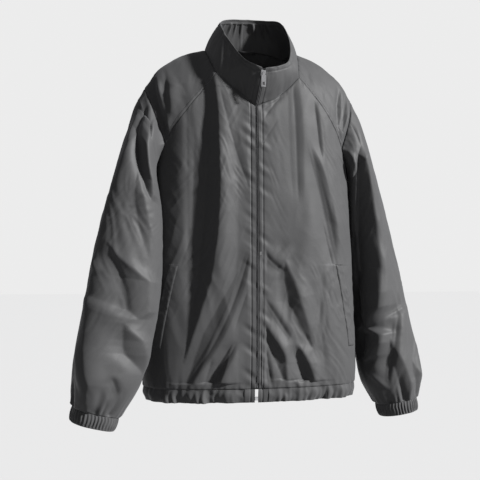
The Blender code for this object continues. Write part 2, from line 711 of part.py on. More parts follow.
def make_loop(seam, material):
    """Hanger loop: a narrow strip inside the back of the neck seam, standing off between its ends."""
    middle = seam[len(seam) // 2]
    layers = []
    for depth in (0.0, CLOTH):
        columns = []
        for share in np.linspace(-1.0, 1.0, LOOP_COLUMNS):
            bow = math.sqrt(max(0.0, math.cos(math.pi * share / 2)))
            x = share * LOOP_WIDTH / 2
            y = middle[1] - LOOP_BASE - LOOP_REACH * bow - depth
            height = middle[2] - LOOP_DROP * bow
            columns.append([(x, y, height - LOOP_STRIP / 2), (x, y, height + LOOP_STRIP / 2)])
        layers.append(np.array(columns))
    return wall("hanger_loop", layers[0], layers[1], material)


# ---------------------------------------------------------------- the whole jacket

def cloth_pieces():
    """Grids of the sewn cloth pieces: name, grid, a point they face away from, closed or not."""
    fronts = {side: front_grid(side) for side in (-1, 1)}
    back = back_grid()
    shoulders = {side: shoulder_grid(side, fronts[side], back) for side in (-1, 1)}
    pieces = {"back": (back, BODY_CENTRE, False)}
    sleeves = ((-1, RIGHT_SLEEVE, RIGHT_SLEEVE_FOLDS), (1, LEFT_SLEEVE, LEFT_SLEEVE_FOLDS))
    for side, sections, folds in sleeves:
        hand = "left_" if side > 0 else "right_"
        loop = armhole(side, fronts[side], back, shoulders[side])
        sleeve = sleeve_grid(side, loop, sections, folds)
        cuff = cuff_grid(sleeve)
        pieces[hand + "front"] = (fronts[side], BODY_CENTRE, False)
        pieces[hand + "shoulder"] = (shoulders[side], BODY_CENTRE, False)
        pieces[hand + "sleeve"] = (sleeve, sleeve.mean(axis=1, keepdims=True).mean(axis=0), True)
        pieces[hand + "cuff"] = (cuff, cuff.mean(axis=(0, 1)), True)
        pieces[hand + "hem_tab"] = (band_columns(hem_turns(side)[:2]), BODY_CENTRE, False)
    pieces["collar"] = (collar_grid(neck_seam(fronts, back, shoulders)), COLLAR_CENTRE, False)
    behind = list(np.linspace(math.pi / 2, 3 * math.pi / 2, len(back)))[1:-1]
    around = hem_turns(-1)[1:] + [turn - 2 * math.pi for turn in behind[::-1]] + hem_turns(1)[:0:-1]
    pieces["hem_band"] = (band_columns(around), BODY_CENTRE, False)
    return pieces


def build():
    cloth = surface("windbreaker_cloth", (0.10, 0.10, 0.105), 0.55)
    tape = surface("zip_tape", (0.035, 0.035, 0.037), 0.7)
    metal = surface("zip_metal", (0.32, 0.32, 0.33), 0.35, 1.0)
    pieces = cloth_pieces()
    through = thickness_vectors(pieces)
    for name, (grid, _, closed) in pieces.items():
        outside = trimmed(grid, closed)
        inside = trimmed(grid - through[name] * CLOTH, closed)
        wall(name, outside, inside, cloth, closed)
    sides = {}
    for side, hand in ((-1, "right_"), (1, "left_")):
        names = (hand + "hem_tab", hand + "front", "collar")
        grids = [pieces[name][0] for name in names]
        ways = [through[name] for name in names]
        if side > 0:
            grids[2] = grids[2][::-1]
            ways[2] = ways[2][::-1]
        sides[side] = zip_edge(grids, ways)
        wall(hand + "pocket_welt", *welt_layers(side), cloth)
    make_zip(sides, tape, metal)
    make_loop(pieces["collar"][0][:, 0], cloth)


for leftover in list(bpy.data.objects):
    bpy.data.objects.remove(leftover)
build()
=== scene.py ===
"""Windbreaker jacket in its worn shape: detailed cloth, stitching, zip, light and camera."""

import math

import bpy
import numpy as np
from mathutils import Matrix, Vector


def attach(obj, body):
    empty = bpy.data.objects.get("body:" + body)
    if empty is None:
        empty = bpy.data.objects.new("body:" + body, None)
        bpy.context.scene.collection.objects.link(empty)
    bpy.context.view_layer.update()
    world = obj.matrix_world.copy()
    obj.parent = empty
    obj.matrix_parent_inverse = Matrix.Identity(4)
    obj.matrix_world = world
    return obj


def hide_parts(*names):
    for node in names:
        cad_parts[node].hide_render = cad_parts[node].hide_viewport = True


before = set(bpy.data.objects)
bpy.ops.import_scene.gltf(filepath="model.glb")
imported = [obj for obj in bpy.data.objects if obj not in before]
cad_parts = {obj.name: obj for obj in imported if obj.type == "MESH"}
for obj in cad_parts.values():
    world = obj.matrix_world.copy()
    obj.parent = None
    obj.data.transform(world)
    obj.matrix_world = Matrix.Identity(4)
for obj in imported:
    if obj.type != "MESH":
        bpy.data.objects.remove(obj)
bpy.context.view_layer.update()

# ---------------- sizes shared with the CAD
ROUNDNESS = 2.3
SLEEVE_ROUNDNESS = 2.1
HEM_HEIGHT = -0.692
BAND = 0.025            # height of the hem band and the cuffs
BAND_TOP = HEM_HEIGHT + BAND
ZIP_OFFSET = -0.008
ZIP_EDGE = 0.0035
HEM_TAB = 0.02
ARM_GAP = 0.007
ZIP_FADE = 0.04
SIDE_FADE = 0.03
SLEEVE_AROUND = 0.4
SLEEVE_ALONG = 0.64

BODY = np.array([
    (-0.692, 0.211, 0.086), (-0.667, 0.215, 0.09), (-0.6, 0.216, 0.094), (-0.5, 0.212, 0.095),
    (-0.4, 0.207, 0.095), (-0.3, 0.201, 0.094), (-0.2, 0.197, 0.091), (-0.12, 0.192, 0.084),
    (-0.06, 0.182, 0.07), (0.0, 0.17, 0.049), (0.03, 0.164, 0.042),
])
FRONT_NECK = np.array([(0.0, -0.122), (0.031, -0.106), (0.06, -0.084), (0.083, -0.06)])
FRONT_RAGLAN = np.array([(0.083, -0.06), (0.109, -0.09), (0.136, -0.124), (0.161, -0.161), (0.179, -0.196)])
FRONT_UNDERARM = np.array([(0.179, -0.196), (0.19, -0.222), (0.1985, -0.236)])
BACK_NECK = np.array([(0.0, 0.012), (0.045, 0.009), (0.08, -0.001)])
BACK_RAGLAN = np.array([(0.08, -0.001), (0.112, -0.055), (0.14, -0.105), (0.164, -0.152), (0.179, -0.188)])
BACK_UNDERARM = np.array([(0.179, -0.188), (0.19, -0.218), (0.1985, -0.236)])
SHOULDER = np.array([
    (0.0, 0.094, 0.0), (0.25, 0.13, -0.01), (0.5, 0.16, -0.025), (0.75, 0.19, -0.048),
    (1.0, 0.215, -0.083),
])
LEFT_DROP = (0.004, 0.01)
SHOULDER_FULLNESS = (0.004, 0.015)
COLLAR_RIM = np.array([
    (0.0, -0.056, -0.056), (30.0, -0.038, -0.047), (60.0, 0.003, -0.028), (90.0, 0.04, 0.02),
    (120.0, 0.06, 0.062), (150.0, 0.071, 0.072), (180.0, 0.075, 0.075),
])
RIM_CENTRE = (0.001, -0.041)
RIM_HALF_WIDTH = 0.0705
RIM_HALF_DEPTH = 0.071
COLLAR_BULGE = 0.004
# share of the way down, then the outer edge's and the inner edge's x and z, the middle's y
# and the half depth
SLEEVES = {
    -1: np.array([
        (0.0, 0.215, -0.083, 0.1985, -0.236, 0.0, 0.055),
        (0.06, 0.232, -0.11, 0.199, -0.246, -0.006, 0.06),
        (0.14, 0.25, -0.16, 0.196, -0.262, -0.018, 0.062),
        (0.25, 0.272, -0.229, 0.19, -0.295, -0.033, 0.06),
        (0.4, 0.3, -0.325, 0.184, -0.362, -0.044, 0.057),
        (0.55, 0.322, -0.42, 0.185, -0.445, -0.05, 0.058),
        (0.7, 0.34, -0.515, 0.196, -0.53, -0.056, 0.06),
        (0.82, 0.354, -0.585, 0.212, -0.6, -0.062, 0.061),
        (0.92, 0.361, -0.642, 0.232, -0.66, -0.066, 0.056),
        (1.0, 0.356, -0.691, 0.268, -0.715, -0.068, 0.038),
    ]),
    1: np.array([
        (0.0, 0.211, -0.093, 0.1985, -0.236, 0.0, 0.055),
        (0.06, 0.227, -0.122, 0.199, -0.248, 0.002, 0.058),
        (0.14, 0.243, -0.17, 0.198, -0.264, 0.008, 0.06),
        (0.25, 0.264, -0.232, 0.196, -0.3, 0.018, 0.059),
        (0.4, 0.293, -0.33, 0.199, -0.368, 0.024, 0.057),
        (0.55, 0.317, -0.425, 0.207, -0.45, 0.022, 0.057),
        (0.7, 0.336, -0.522, 0.218, -0.537, 0.014, 0.057),
        (0.82, 0.353, -0.605, 0.226, -0.612, 0.006, 0.057),
        (0.92, 0.358, -0.655, 0.237, -0.668, 0.0, 0.052),
        (1.0, 0.35, -0.702, 0.266, -0.716, -0.002, 0.038),
    ]),
}
WELT_TOP = (0.171, -0.428)
WELT_BOTTOM = (0.203, -0.592)
WELT_WIDTH = 0.015
WELT_BASE = 0.0012      # height above the front, then what its face, mouth and ripples add
WELT_RISE = 0.0012
WELT_MOUTH = 0.0016
WELT_RIPPLE = 0.0004
WELT_BOW = 0.004
BODY_CENTRE = np.array([0.0, 0.0, -0.2])
HAND = {-1: "right", 1: "left"}  # the wearer's, by the sign of x

# ---------------- how fine the cloth is
NECK_STEPS = 52
RAGLAN_STEPS = 44
UNDERARM_STEPS = 26
OVER_STEPS = 100
BODY_ROWS = 300
COLLAR_ROWS = 44
BAND_ROWS = 14
SLEEVE_ROWS = 280
CUFF_COLUMNS = 480
ARMHOLE_SMOOTHING = 160  # rounds of averaging that carry the armhole's shape into the sleeve

# ---------------- seams, stitches, loop and zip
PLACKET_STITCH = 0.008  # from each front's edge to its topstitch
PLY = 0.0011            # space between the two layers of a folded edge or casing
COLLAR_PLY = 0.001
SEAM_LIFT = 0.0009      # how far the cloth stands above the line where it is sewn down
SEAM_PRESS = 0.0016     # how wide that line is
STITCH_ROWS = (0.002, 0.0075)
STITCH_LENGTH = 0.0024
STITCH_PITCH = 0.0031
THREAD = 0.00028        # radius
COLLAR_TOPSTITCH = 0.0075
CUFF_STITCHES = (0.002, 0.021)
HEM_STITCHES = (("bottom", 0.0018), ("top", 0.0022))
LOOP_WIDTH = 0.034
LOOP_BASE = 0.0051      # from the neck seam to the loop's ends
LOOP_REACH = 0.0062
LOOP_DROP = 0.003
LOOP_TAPE = (0.0007, 0.0023)  # half its thickness and half its height
TAPE_WIDTH = 0.0125
TAPE_INSIDE = 0.003     # how far the zip tape reaches past the front's edge
TOOTH_PITCH = 0.0015
TOOTH_REACH = 0.0024
TOOTH_RADIUS = 0.00062
TOOTH_DEPTH = 0.0007

# ---------------- flat sizes that the pieces are cut to, and limits just inside them for the area
CUTS = {
    "front": (0.27, 0.68), "back": (0.5, 0.7), "shoulder": (0.2, 0.38), "sleeve": (0.46, 0.66),
    "cuff": (0.4, 0.055), "collar": (0.55, 0.21), "hem_tab": (0.022, 0.055), "hem_band": (1.05, 0.058),
    "pocket_welt": (0.018, 0.175), "hanger_loop": (0.01, 0.04), "zip_tape": (0.0165, 0.7),
}
AREA_LIMITS = {"sleeve": 0.3, "cuff": 0.0219, "collar": 0.115}
LOOP_AREA = 0.0002
LEAST_HEM_SHARE = 0.31  # of its cut size, the least area given for a hem piece

# ---------------- heights of the ripples and gathers
ZIP_RIPPLE = 0.0016
HEM_GATHER = 0.0017
SLEEVE_HEAD = 0.0009
SLEEVE_GATHER = 0.0042
BAND_PUFF = 0.0022
CUFF_PUFF = 0.0012
CUFF_PLEATS = 40
CUFF_PLEAT = 0.0013
COLLAR_HOLLOW = 0.0062
COLLAR_RIM_RIPPLE = 0.0014
COLLAR_SEAM_RIPPLE = 0.0011
COLLAR_END_RIPPLE = 0.0015
LINING_GATHER = 0.0046
LINING_RIPPLE = 0.0011
TOPSTITCH_GROOVE = 0.0014
RIM_GROOVE = 0.0009
LINING_GROOVE = 0.0012
FACET_FADE = 0.026
SHOULDER_SIZE = (0.13, 0.24)  # flat size that the shoulders' folds are laid out on
# size across and along, turn in radians and height of each family of creases
CREASES = (
    (0.034, 0.12, 0.15, 0.0006),
    (0.03, 0.085, -0.4, 0.00045),
    (0.018, 0.08, 0.25, 0.0008),
    (0.012, 0.05, -0.4, 0.0007),
    (0.008, 0.034, 0.5, 0.00048),
)
# size across and along and height of the bends in the creases' lines, and of the broad unevenness
CREASE_BENDS = ((0.05, 0.08, 0.012), (0.06, 0.07, 0.015))
BROAD_WAVE = (0.04, 0.16, 0.0007)

# ---------------- looks, light and camera
CLOTH_COLOUR = (0.056, 0.056, 0.057)
THREAD_COLOUR = (0.05, 0.05, 0.052)
TAPE_COLOUR = (0.06, 0.06, 0.062)
ZIP_METAL = (0.36, 0.36, 0.37)
BRIGHT_METAL = (0.62, 0.62, 0.63)
SHEEN_TINT = (0.95, 0.96, 1.0, 1.0)
CLOTH_GLOSS = (0.5, 0.62)    # lowest and highest roughness
WEAVE = (420.0, 0.00002)     # scale and height of the threads
RIBS = (150.0, 0.00002)
CRINKLES = ((90.0, 0.00016), (260.0, 0.00006))
# distance from the seam, width and height of the pressed lines in the cloth's bump
SEAM_BUMP = ((0.0, 0.0011, -0.0008),)
STITCH_BUMP = tuple((row, 0.0007, -0.0003) for row in STITCH_ROWS)
FLOOR_SIZE = 60.0
FLOOR_HEIGHT = -1.45
FLOOR_COLOUR = (0.53, 0.53, 0.53)
BACKDROP_COLOUR = (0.84, 0.84, 0.84, 1.0)
FILL_COLOUR = (0.22, 0.22, 0.225, 1.0)
KEY_LAMP = (57.0, 29.0, 8.7, 6.0)  # azimuth, elevation, strength and angular size
LENS = 66.5
SENSOR = 36.0
CAMERA_PLACE = (-0.39272, -1.74507, -0.43019)
CAMERA_TURN = (91.615, 0.0, -12.0)

# ---------------- folds, in millimetres
# across and height at the start and at the end, sideways bow, half width, depth of a trough
# (negative) or ridge, and step: how much one side of the line stands above the other
FRONT_FOLDS = np.array([
    (-77, -86, -24, -280, 6, 14, -3, -2),
    (-55, -86, -20, -126, 0, 5, -2, 0),
    (-42, -94, -16, -116, 0, 4, -1.6, 0),
    (-26, -415, -134, -648, -12, 10, -3, -3.4),
    (-28, -480, -52, -550, 0, 8, -2.4, 0),
    (-52, -585, -92, -655, 0, 9, -4, -3),
    (-95, -610, -110, -660, 0, 7, -3, 0),
    (-141, -120, -140, -420, 0, 8, -1.2, 1),
    (-128, -180, -131, -400, 0, 6, -1, 0),
    (-153, -430, -132, -370, 0, 5, -1.6, 0),
    (-148, -432, -118, -395, 0, 5, -1.4, 0),
    (-142, -445, -112, -425, 0, 4, -1, 0),
    (70, -72, 76, -300, 0, 14, -3, -2.2),
    (114, -112, 126, -220, 0, 7, -4, -2),
    (104, -205, 160, -410, -6, 10, -3, -3.4),
    (128, -150, 150, -330, 0, 6, -1.2, 0),
    (4, -149, 58, -82, 0, 5, -2.6, 0),
    (6, -128, 47, -103, 0, 4, -2, 0),
    (10, -186, 32, -152, 0, 4, -1.4, 0),
    (6, -404, 44, -440, 4, 7, -3, -2.4),
    (4, -425, 52, -390, 0, 9, -2, 1),
    (8, -497, 58, -570, 0, 7, -2.6, -2.2),
    (4, -545, 46, -615, 0, 7, -4, -3.4),
    (10, -596, 20, -655, 0, 7, -4, -2.4),
    (68, -588, 102, -655, 0, 8, -3.6, -3.4),
    (120, -480, 132, -650, 0, 12, -1.4, -1.4),
    (146, -400, 150, -450, 0, 5, -2, 0),
    (132, -350, 150, -428, 0, 6, -2.4, -1),
    (148, -460, 136, -490, 0, 4, -1.2, 0),
    (-72, -130, -70, -560, 0, 20, 3.5, 0),
    (105, -300, 70, -560, 0, 22, 3, 0),
]) / 1000
BACK_FOLDS = np.array([
    (-60, -100, -85, -520, -8, 14, -3, -5),
    (52, -100, 92, -460, 10, 13, -3, 4.8),
    (4, -220, -20, -640, 0, 16, -2, -3.4),
    (-136, -200, -112, -500, 0, 11, -3, 3),
    (138, -220, 122, -600, 0, 12, -3, -3.6),
    (-152, -300, -90, -380, 6, 8, -2.4, 0),
    (150, -300, 80, -400, -6, 9, -2.6, 0),
    (20, -20, 60, -70, 0, 6, -1.6, 0),
    (-24, -20, -56, -80, 0, 6, -1.6, 0),
    (60, -520, 110, -650, 0, 9, -3, 2.8),
    (-60, -540, -40, -650, 0, 8, -3, -2.4),
    (-120, -560, -140, -650, 0, 8, -3, 2.4),
    (10, -570, 0, -650, 0, 7, -2.4, 0),
]) / 1000
# on a sleeve: around from the outer edge (front positive) and along from the armhole
SLEEVE_FOLDS = {
    -1: np.array([
    (30, 352, 52, 372, 0, 8, 3, 0),
    (18, 420, 100, 445, 0, 10, 2, -1.6),
    (86, 372, 110, 440, 0, 10, -2, 2),
    (20, 520, 60, 600, 0, 10, 2, 3),
    (105, 570, 128, 600, 0, 8, -3, 2),
    (64, 2, 98, 50, 0, 4, -3, 1.2),
    (30, 4, 52, 60, 0, 5, -1.6, 0),
    (-30, 10, -60, 200, 0, 12, -3, 3),
    (-80, 120, -120, 380, 0, 13, -3, -4),
    (-40, 300, -120, 420, 6, 10, -3, 3),
    (-40, 430, -140, 520, 0, 9, -3, 3),
    (-60, 520, -80, 600, 0, 9, -2.4, 2.4),
    (176, 220, 190, 430, 0, 10, -2, 0),
    ]) / 1000,
    1: np.array([
    (118, 20, 158, 380, 0, 8, 4, 0),
    (78, 455, 124, 590, 4, 9, -3, -3.8),
    (104, 452, 28, 436, 0, 8, -3, 2.4),
    (128, 486, 166, 566, 0, 9, -2.4, -3),
    (172, 560, 132, 604, 0, 7, 2.6, 0),
    (40, 500, 60, 600, 0, 10, -2, -3),
    (60, 4, 80, 60, 0, 5, -2.4, 0),
    (32, 100, 48, 200, 0, 10, -1.2, 0),
    (-30, 10, -60, 220, 0, 12, -3, -3),
    (-80, 120, -120, 360, 0, 13, -3, 4),
    (-40, 320, -130, 430, 6, 10, -3, 3),
    (-40, 450, -140, 530, 0, 9, -3, 3),
    (-60, 520, -80, 600, 0, 9, -2.4, 2.4),
    ]) / 1000,
}
# on a shoulder: outwards from the neck and over from the front seam to the back seam
SHOULDER_FOLDS = {
    -1: np.array([
    (112, 30, 98, 90, 0, 6, -3, 3),
    (94, 50, 86, 105, 0, 5, -2.2, 0),
    (60, 20, 70, 75, 0, 7, -1.2, 0),
    (30, 20, 20, 80, 0, 7, -1.2, 0),
    (100, 130, 106, 200, 0, 7, -2.2, 0),
    ]) / 1000,
    1: np.array([
    (100, 25, 92, 90, 0, 6, -2.8, -2.4),
    (116, 30, 110, 100, 0, 5, -2.2, 0),
    (60, 20, 66, 70, 0, 7, -1.2, 0),
    (24, 20, 20, 70, 0, 7, -1.4, 0),
    (100, 130, 106, 200, 0, 7, -2.2, 0),
    ]) / 1000,
}
# on the collar: along the neck seam from the zip over the right shoulder, and up
COLLAR_FOLDS = np.array([
    (20, 0, 50, 40, 2, 4, -1.8, 0),
    (50, 4, 85, 60, 3, 5, -2, 0.6),
    (78, 0, 112, 55, -2, 6, -2.2, 0.8),
    (28, 20, 34, 60, 1, 4, -1.2, 0),
    (300, 6, 270, 50, 2, 5, -1.4, 0),
    (322, 18, 302, 52, -2, 4, -1.2, 0),
    (345, 0, 318, 20, 1, 4, -1.6, 0),
]) / 1000
# flat slopes with crisp sides: each has its slope, positive where the cloth rises with across, then
# stations of height (along a sleeve, over a shoulder), middle and half width
FRONT_FACETS = (
    (0.66, ((-620, -148, 0), (-590, -140, 2), (-515, -122, 9), (-460, -109, 13), (-370, -98, 15),
            (-270, -92, 14), (-130, -92, 11), (-50, -95, 8))),
    (0.34, ((-655, -134, 6), (-610, -118, 10), (-560, -100, 11), (-500, -70, 8), (-440, -44, 0))),
    (0.62, ((-655, -88, 10), (-620, -74, 7), (-580, -56, 0))),
    (0.6, ((-596, 108, 0), (-545, 85, 8), (-500, 66, 10), (-460, 56, 8), (-420, 46, 0))),
    (0.62, ((-650, 48, 3), (-618, 40, 9), (-590, 28, 7), (-548, 8, 0))),
    (0.6, ((-655, 100, 7), (-620, 88, 8), (-584, 74, 0))),
    (0.42, ((-430, 160, 2), (-345, 148, 7), (-210, 106, 0))),
    (0.3, ((-130, -18, 0), (-108, -40, 4), (-86, -56, 4))),
)
BACK_FACETS = (
    (0.5, ((-560, -96, 0), (-400, -86, 12), (-240, -74, 14), (-100, -60, 0))),
    (-0.5, ((-520, 96, 0), (-380, 88, 14), (-230, 70, 13), (-90, 50, 0))),
    (0.4, ((-655, -24, 6), (-450, -10, 12), (-300, 6, 0))),
    (-0.5, ((-655, 112, 6), (-610, 96, 10), (-540, 70, 0))),
    (0.5, ((-655, -130, 6), (-610, -120, 10), (-550, -100, 0))),
)
SLEEVE_FACETS = {
    -1: (
    (0.8, ((0, 44, 2), (12, 52, 12), (45, 68, 20), (79, 77, 20), (110, 95, 16), (149, 115, 13),
           (186, 127, 6), (202, 130, 0))),
    (0.36, ((150, 90, 0), (201, 102, 9), (254, 116, 11), (282, 124, 9), (312, 131, 4), (330, 134, 0))),
    (0.42, ((312, 56, 0), (335, 74, 6), (350, 89, 10), (375, 112, 20), (403, 120, 17), (437, 127, 15),
            (452, 128, 0))),
    (0.52, ((462, 106, 0), (476, 112, 5), (495, 127, 15), (508, 132, 17), (523, 140, 17), (545, 160, 9),
            (562, 174, 0))),
    (0.34, ((30, 34, 10), (87, 30, 26), (173, 24, 20), (267, 20, 16), (352, 21, 17), (427, 21, 17),
            (512, 28, 24), (587, 39, 35), (640, 43, 30))),
    (1.3, ((0, 66, 3), (30, 82, 4), (58, 100, 0))),
    (-0.4, ((60, -60, 0), (200, -90, 14), (330, -110, 0))),
    (0.5, ((300, -50, 0), (400, -100, 14), (520, -130, 0))),
    ),
    1: (
    (-0.62, ((66, 100, 0), (100, 107, 18), (180, 110, 19), (250, 116, 22), (347, 126, 25),
             (400, 145, 32), (430, 149, 29), (444, 155, 20), (462, 156, 7), (470, 157, 0))),
    (-0.62, ((469, 161, 0), (484, 148, 20), (501, 154, 22), (527, 167, 14), (542, 180, 0))),
    (-0.6, ((10, 150, 6), (50, 155, 16), (170, 160, 15), (250, 165, 8), (275, 160, 0))),
    (-0.55, ((490, 108, 0), (550, 98, 9), (600, 88, 11), (640, 84, 4))),
    (-0.5, ((540, 64, 0), (590, 52, 8), (640, 46, 4))),
    (0.4, ((60, -60, 0), (200, -90, 14), (330, -110, 0))),
    (-0.5, ((300, -50, 0), (400, -100, 14), (520, -130, 0))),
    ),
}
SHOULDER_FACETS = {
    -1: (
    (-1.1, ((4, 119, 5), (60, 113, 7), (110, 105, 0))),
    (-0.6, ((20, 100, 0), (60, 94, 4), (90, 90, 0))),
    (-0.6, ((120, 104, 0), (170, 106, 6), (230, 108, 2))),
    ),
    1: (
    (0.9, ((10, 108, 2), (60, 103, 5), (105, 98, 0))),
    (1.1, ((20, 120, 2), (60, 117, 4), (110, 112, 0))),
    (0.6, ((120, 104, 0), (170, 106, 6), (230, 108, 2))),
    ),
}


# ---------------- number helpers

def smooth(table, at):
    """Other columns of a table at values of its first column, joined by a smooth curve."""
    knots = table[:, 0]
    values = table[:, 1:]
    slopes = np.gradient(values, knots, axis=0)
    at = np.asarray(at, float)
    i = np.clip(np.searchsorted(knots, at) - 1, 0, len(knots) - 2)
    step = (knots[i + 1] - knots[i])[..., None]
    t = (at - knots[i])[..., None] / step
    start = (2 * t**3 - 3 * t**2 + 1) * values[i] + (t**3 - 2 * t**2 + t) * step * slopes[i]
    end = (3 * t**2 - 2 * t**3) * values[i + 1] + (t**3 - t**2) * step * slopes[i + 1]
    return start + end


def run_along(points):
    """Length from the first point of a line to each of its points."""
    return np.r_[0.0, np.cumsum(np.linalg.norm(np.diff(points, axis=0), axis=1))]


def lengths_down(lines):
    """Length from the first line of a grid to each of its lines."""
    steps = np.linalg.norm(np.diff(lines, axis=0), axis=2)
    return np.vstack([np.zeros((1, steps.shape[1])), np.cumsum(steps, axis=0)])


def at_marks(marks, run, values):
    """Rows of three values at marks along a line whose points lie at the lengths in run."""
    return np.column_stack([np.interp(marks, run, values[:, k]) for k in range(3)])


def along(points, steps, crowding=1.0):
    """Points on the smooth curve through a short list of points, closer together at its start."""
    points = np.asarray(points, float)
    run = run_along(points)
    return smooth(np.column_stack([run, points]), run[-1] * np.linspace(0.0, 1.0, steps + 1) ** crowding)


def soft_step(value):
    t = np.clip(value, 0.0, 1.0)
    return t * t * (3 - 2 * t)


def ends_fade(share, length):
    """Nought at both ends of a share, one further in than the length."""
    return soft_step(share / length) * soft_step((1 - share) / length)


def bell(distance, width):
    return np.exp(-((distance / width) ** 2))


def signed_power(value, power):
    return np.sign(value) * np.abs(value) ** power


def unit(vectors):
    return vectors / np.maximum(np.linalg.norm(vectors, axis=-1, keepdims=True), 1e-12)


def noise(u, v, seed, cells=64):
    """Smooth random values between -1 and 1, one cell to a unit of u and v."""
    table = np.random.default_rng(seed).uniform(-1.0, 1.0, (cells, cells))
    i = np.floor(u).astype(int)
    j = np.floor(v).astype(int)
    s = soft_step(u - i)
    t = soft_step(v - j)
    corners = [table[(i + a) % cells, (j + b) % cells] for a in (0, 1) for b in (0, 1)]
    low = corners[0] * (1 - t) + corners[1] * t
    high = corners[2] * (1 - t) + corners[3] * t
    return low * (1 - s) + high * s


def wrinkles(u, v, seed):
    """Uneven sharp creases at several sizes, longer along v than across, in metres."""
    bent = [line + height * noise(u / across, v / length, seed + k)
            for k, (line, (across, length, height)) in enumerate(zip((u, v), CREASE_BENDS))]
    across, length, height = BROAD_WAVE
    total = height * noise(bent[0] / across, bent[1] / length, seed + 2)
    for k, (across, length, turn, height) in enumerate(CREASES):
        a = (bent[0] * math.cos(turn) + bent[1] * math.sin(turn)) / across
        b = (bent[1] * math.cos(turn) - bent[0] * math.sin(turn)) / length
        strength = np.clip(0.45 + 1.3 * noise(u / 0.09, v / 0.12, seed + 10 + k), 0.0, 1.3)
        total += height * strength * (0.5 - np.abs(noise(a, b, seed + 20 + k)) * 1.6)
    return total


def pucker(distance, way, seed, reach=0.01, pitch=0.007, height=0.0007):
    """Small puckers beside a seam: distance from the seam, way along it."""
    ripple = noise(way / pitch, distance / (reach * 2.5), seed)
    ripple += 0.5 * noise(way / pitch * 2.1, 0.0, seed + 1)
    return height * ripple * bell(distance, reach)


def fold_height(across, height, folds):
    """Height of the folds over a flat place: troughs, ridges and steps along bowed lines."""
    total = np.zeros(np.broadcast(across, height).shape)
    for x0, z0, x1, z1, bow, half_width, depth, step in folds:
        length = math.hypot(x1 - x0, z1 - z0)
        way = ((across - x0) * (x1 - x0) + (height - z0) * (z1 - z0)) / length
        off = ((across - x0) * (z1 - z0) - (height - z0) * (x1 - x0)) / length
        share = np.clip(way / length, 0.0, 1.0)
        ease = min(0.06, 0.4 * length)
        fade = soft_step(0.4 + way / ease) * soft_step(0.4 + (length - way) / ease)
        q = (off - bow * 4 * share * (1 - share)) / (half_width * (0.75 + 0.25 * np.sin(np.pi * share)))
        sharp = np.exp(-1.3 * np.abs(q)) if depth < 0 else np.exp(-q**2)
        beyond = np.maximum(np.abs(q) - 1, 0.0)
        total += fade * (depth * sharp + step * np.clip(q, -1.0, 1.0) * bell(beyond, 2.2))
    return total


def facet_height(across, height, facets):
    """Height of the flat slopes: each one's low and high sides die away beyond its width."""
    total = np.zeros(np.broadcast(across, height).shape)
    for slope, stations in facets:
        places, middles, widths = np.array(stations).T / 1000
        off = across - np.interp(height, places, middles)
        width = np.interp(height, places, widths, left=0.0, right=0.0)
        beyond = np.maximum(np.abs(off) - width, 0.0)
        total += slope * np.clip(off, -width, width) * bell(beyond, FACET_FADE)
    return total


# ---------------- body form

def body_turn(across, height):
    """Turn from the centre front of the body's outline at a distance across and a height."""
    half_width = smooth(BODY, height)[..., 0]
    share = np.minimum(np.abs(across) / half_width, 1.0)
    return np.sign(across) * np.arcsin(share ** (ROUNDNESS / 2))


def body_relief(x, height, front):
    """Folds and small wrinkles of the fronts or the back; on the fronts they fade at the zip."""
    from_zip = x - ZIP_OFFSET
    zip_away = np.abs(from_zip)
    if front:
        free = soft_step((zip_away - 0.01) / ZIP_FADE)
        side = np.sign(from_zip)
        relief = fold_height(x, height, FRONT_FOLDS) + facet_height(x, height, FRONT_FACETS)
        relief *= np.maximum(free, 0.75 * soft_step((zip_away - 0.012) / 0.008))
        relief -= TOPSTITCH_GROOVE * bell(zip_away - ZIP_EDGE - PLACKET_STITCH, 0.0011)
        relief += wrinkles(x, height, 5) * free
        ripple = noise(height / 0.012 + side * zip_away / 0.02, side + 2.0, 31)
        relief += ZIP_RIPPLE * bell(zip_away - 0.013, 0.012) * ripple
    else:
        relief = fold_height(x, height, BACK_FOLDS) + facet_height(x, height, BACK_FACETS)
        relief += wrinkles(x, height, 17)
    gather = np.exp(-((height - HEM_HEIGHT - BAND) / 0.02)) * soft_step((zip_away - 0.02) / 0.02)
    spread = noise(x / 0.011, height / 0.1, 41 + front) + 0.5 * noise(x / 0.006, height / 0.05, 43 + front)
    return relief + HEM_GATHER * gather * spread


def body_point(turn, height, outward=0.0):
    """Points on the outside of the body at turns from the centre front and heights."""
    sizes = smooth(BODY, height)
    half_width, half_depth = sizes[..., 0], sizes[..., 1]
    x = half_width * signed_power(np.sin(turn), 2 / ROUNDNESS)
    y = -half_depth * signed_power(np.cos(turn), 2 / ROUNDNESS)
    normal = unit(np.stack([x / half_width**2, y / half_depth**2], axis=-1))
    front = body_relief(x, height, True)
    behind = body_relief(x, height, False)
    out = outward + np.where(y < 0, front, behind) * soft_step(np.abs(y) / SIDE_FADE)
    return np.stack([x + normal[..., 0] * out, y + normal[..., 1] * out, height + 0 * x], axis=-1)


def body_columns(low, upper):
    """Columns of points on the body from turns at the hem band up to turns and heights."""
    shares = np.linspace(0.0, 1.0, BODY_ROWS + 1)[None, :]
    turns = low[:, None] + (upper[:, :1] - low[:, None]) * shares
    heights = BAND_TOP + (upper[:, 1:] - BAND_TOP) * shares
    return body_point(turns, heights)


def front_edge(side):
    return ZIP_OFFSET + side * ZIP_EDGE


def upper_edge(neck, raglan, underarm, crowding):
    """Across and height along the neck, the raglan seam and the underarm."""
    return np.vstack([along(neck, NECK_STEPS, crowding), along(raglan, RAGLAN_STEPS)[1:],
                      along(underarm, UNDERARM_STEPS)[1:]])


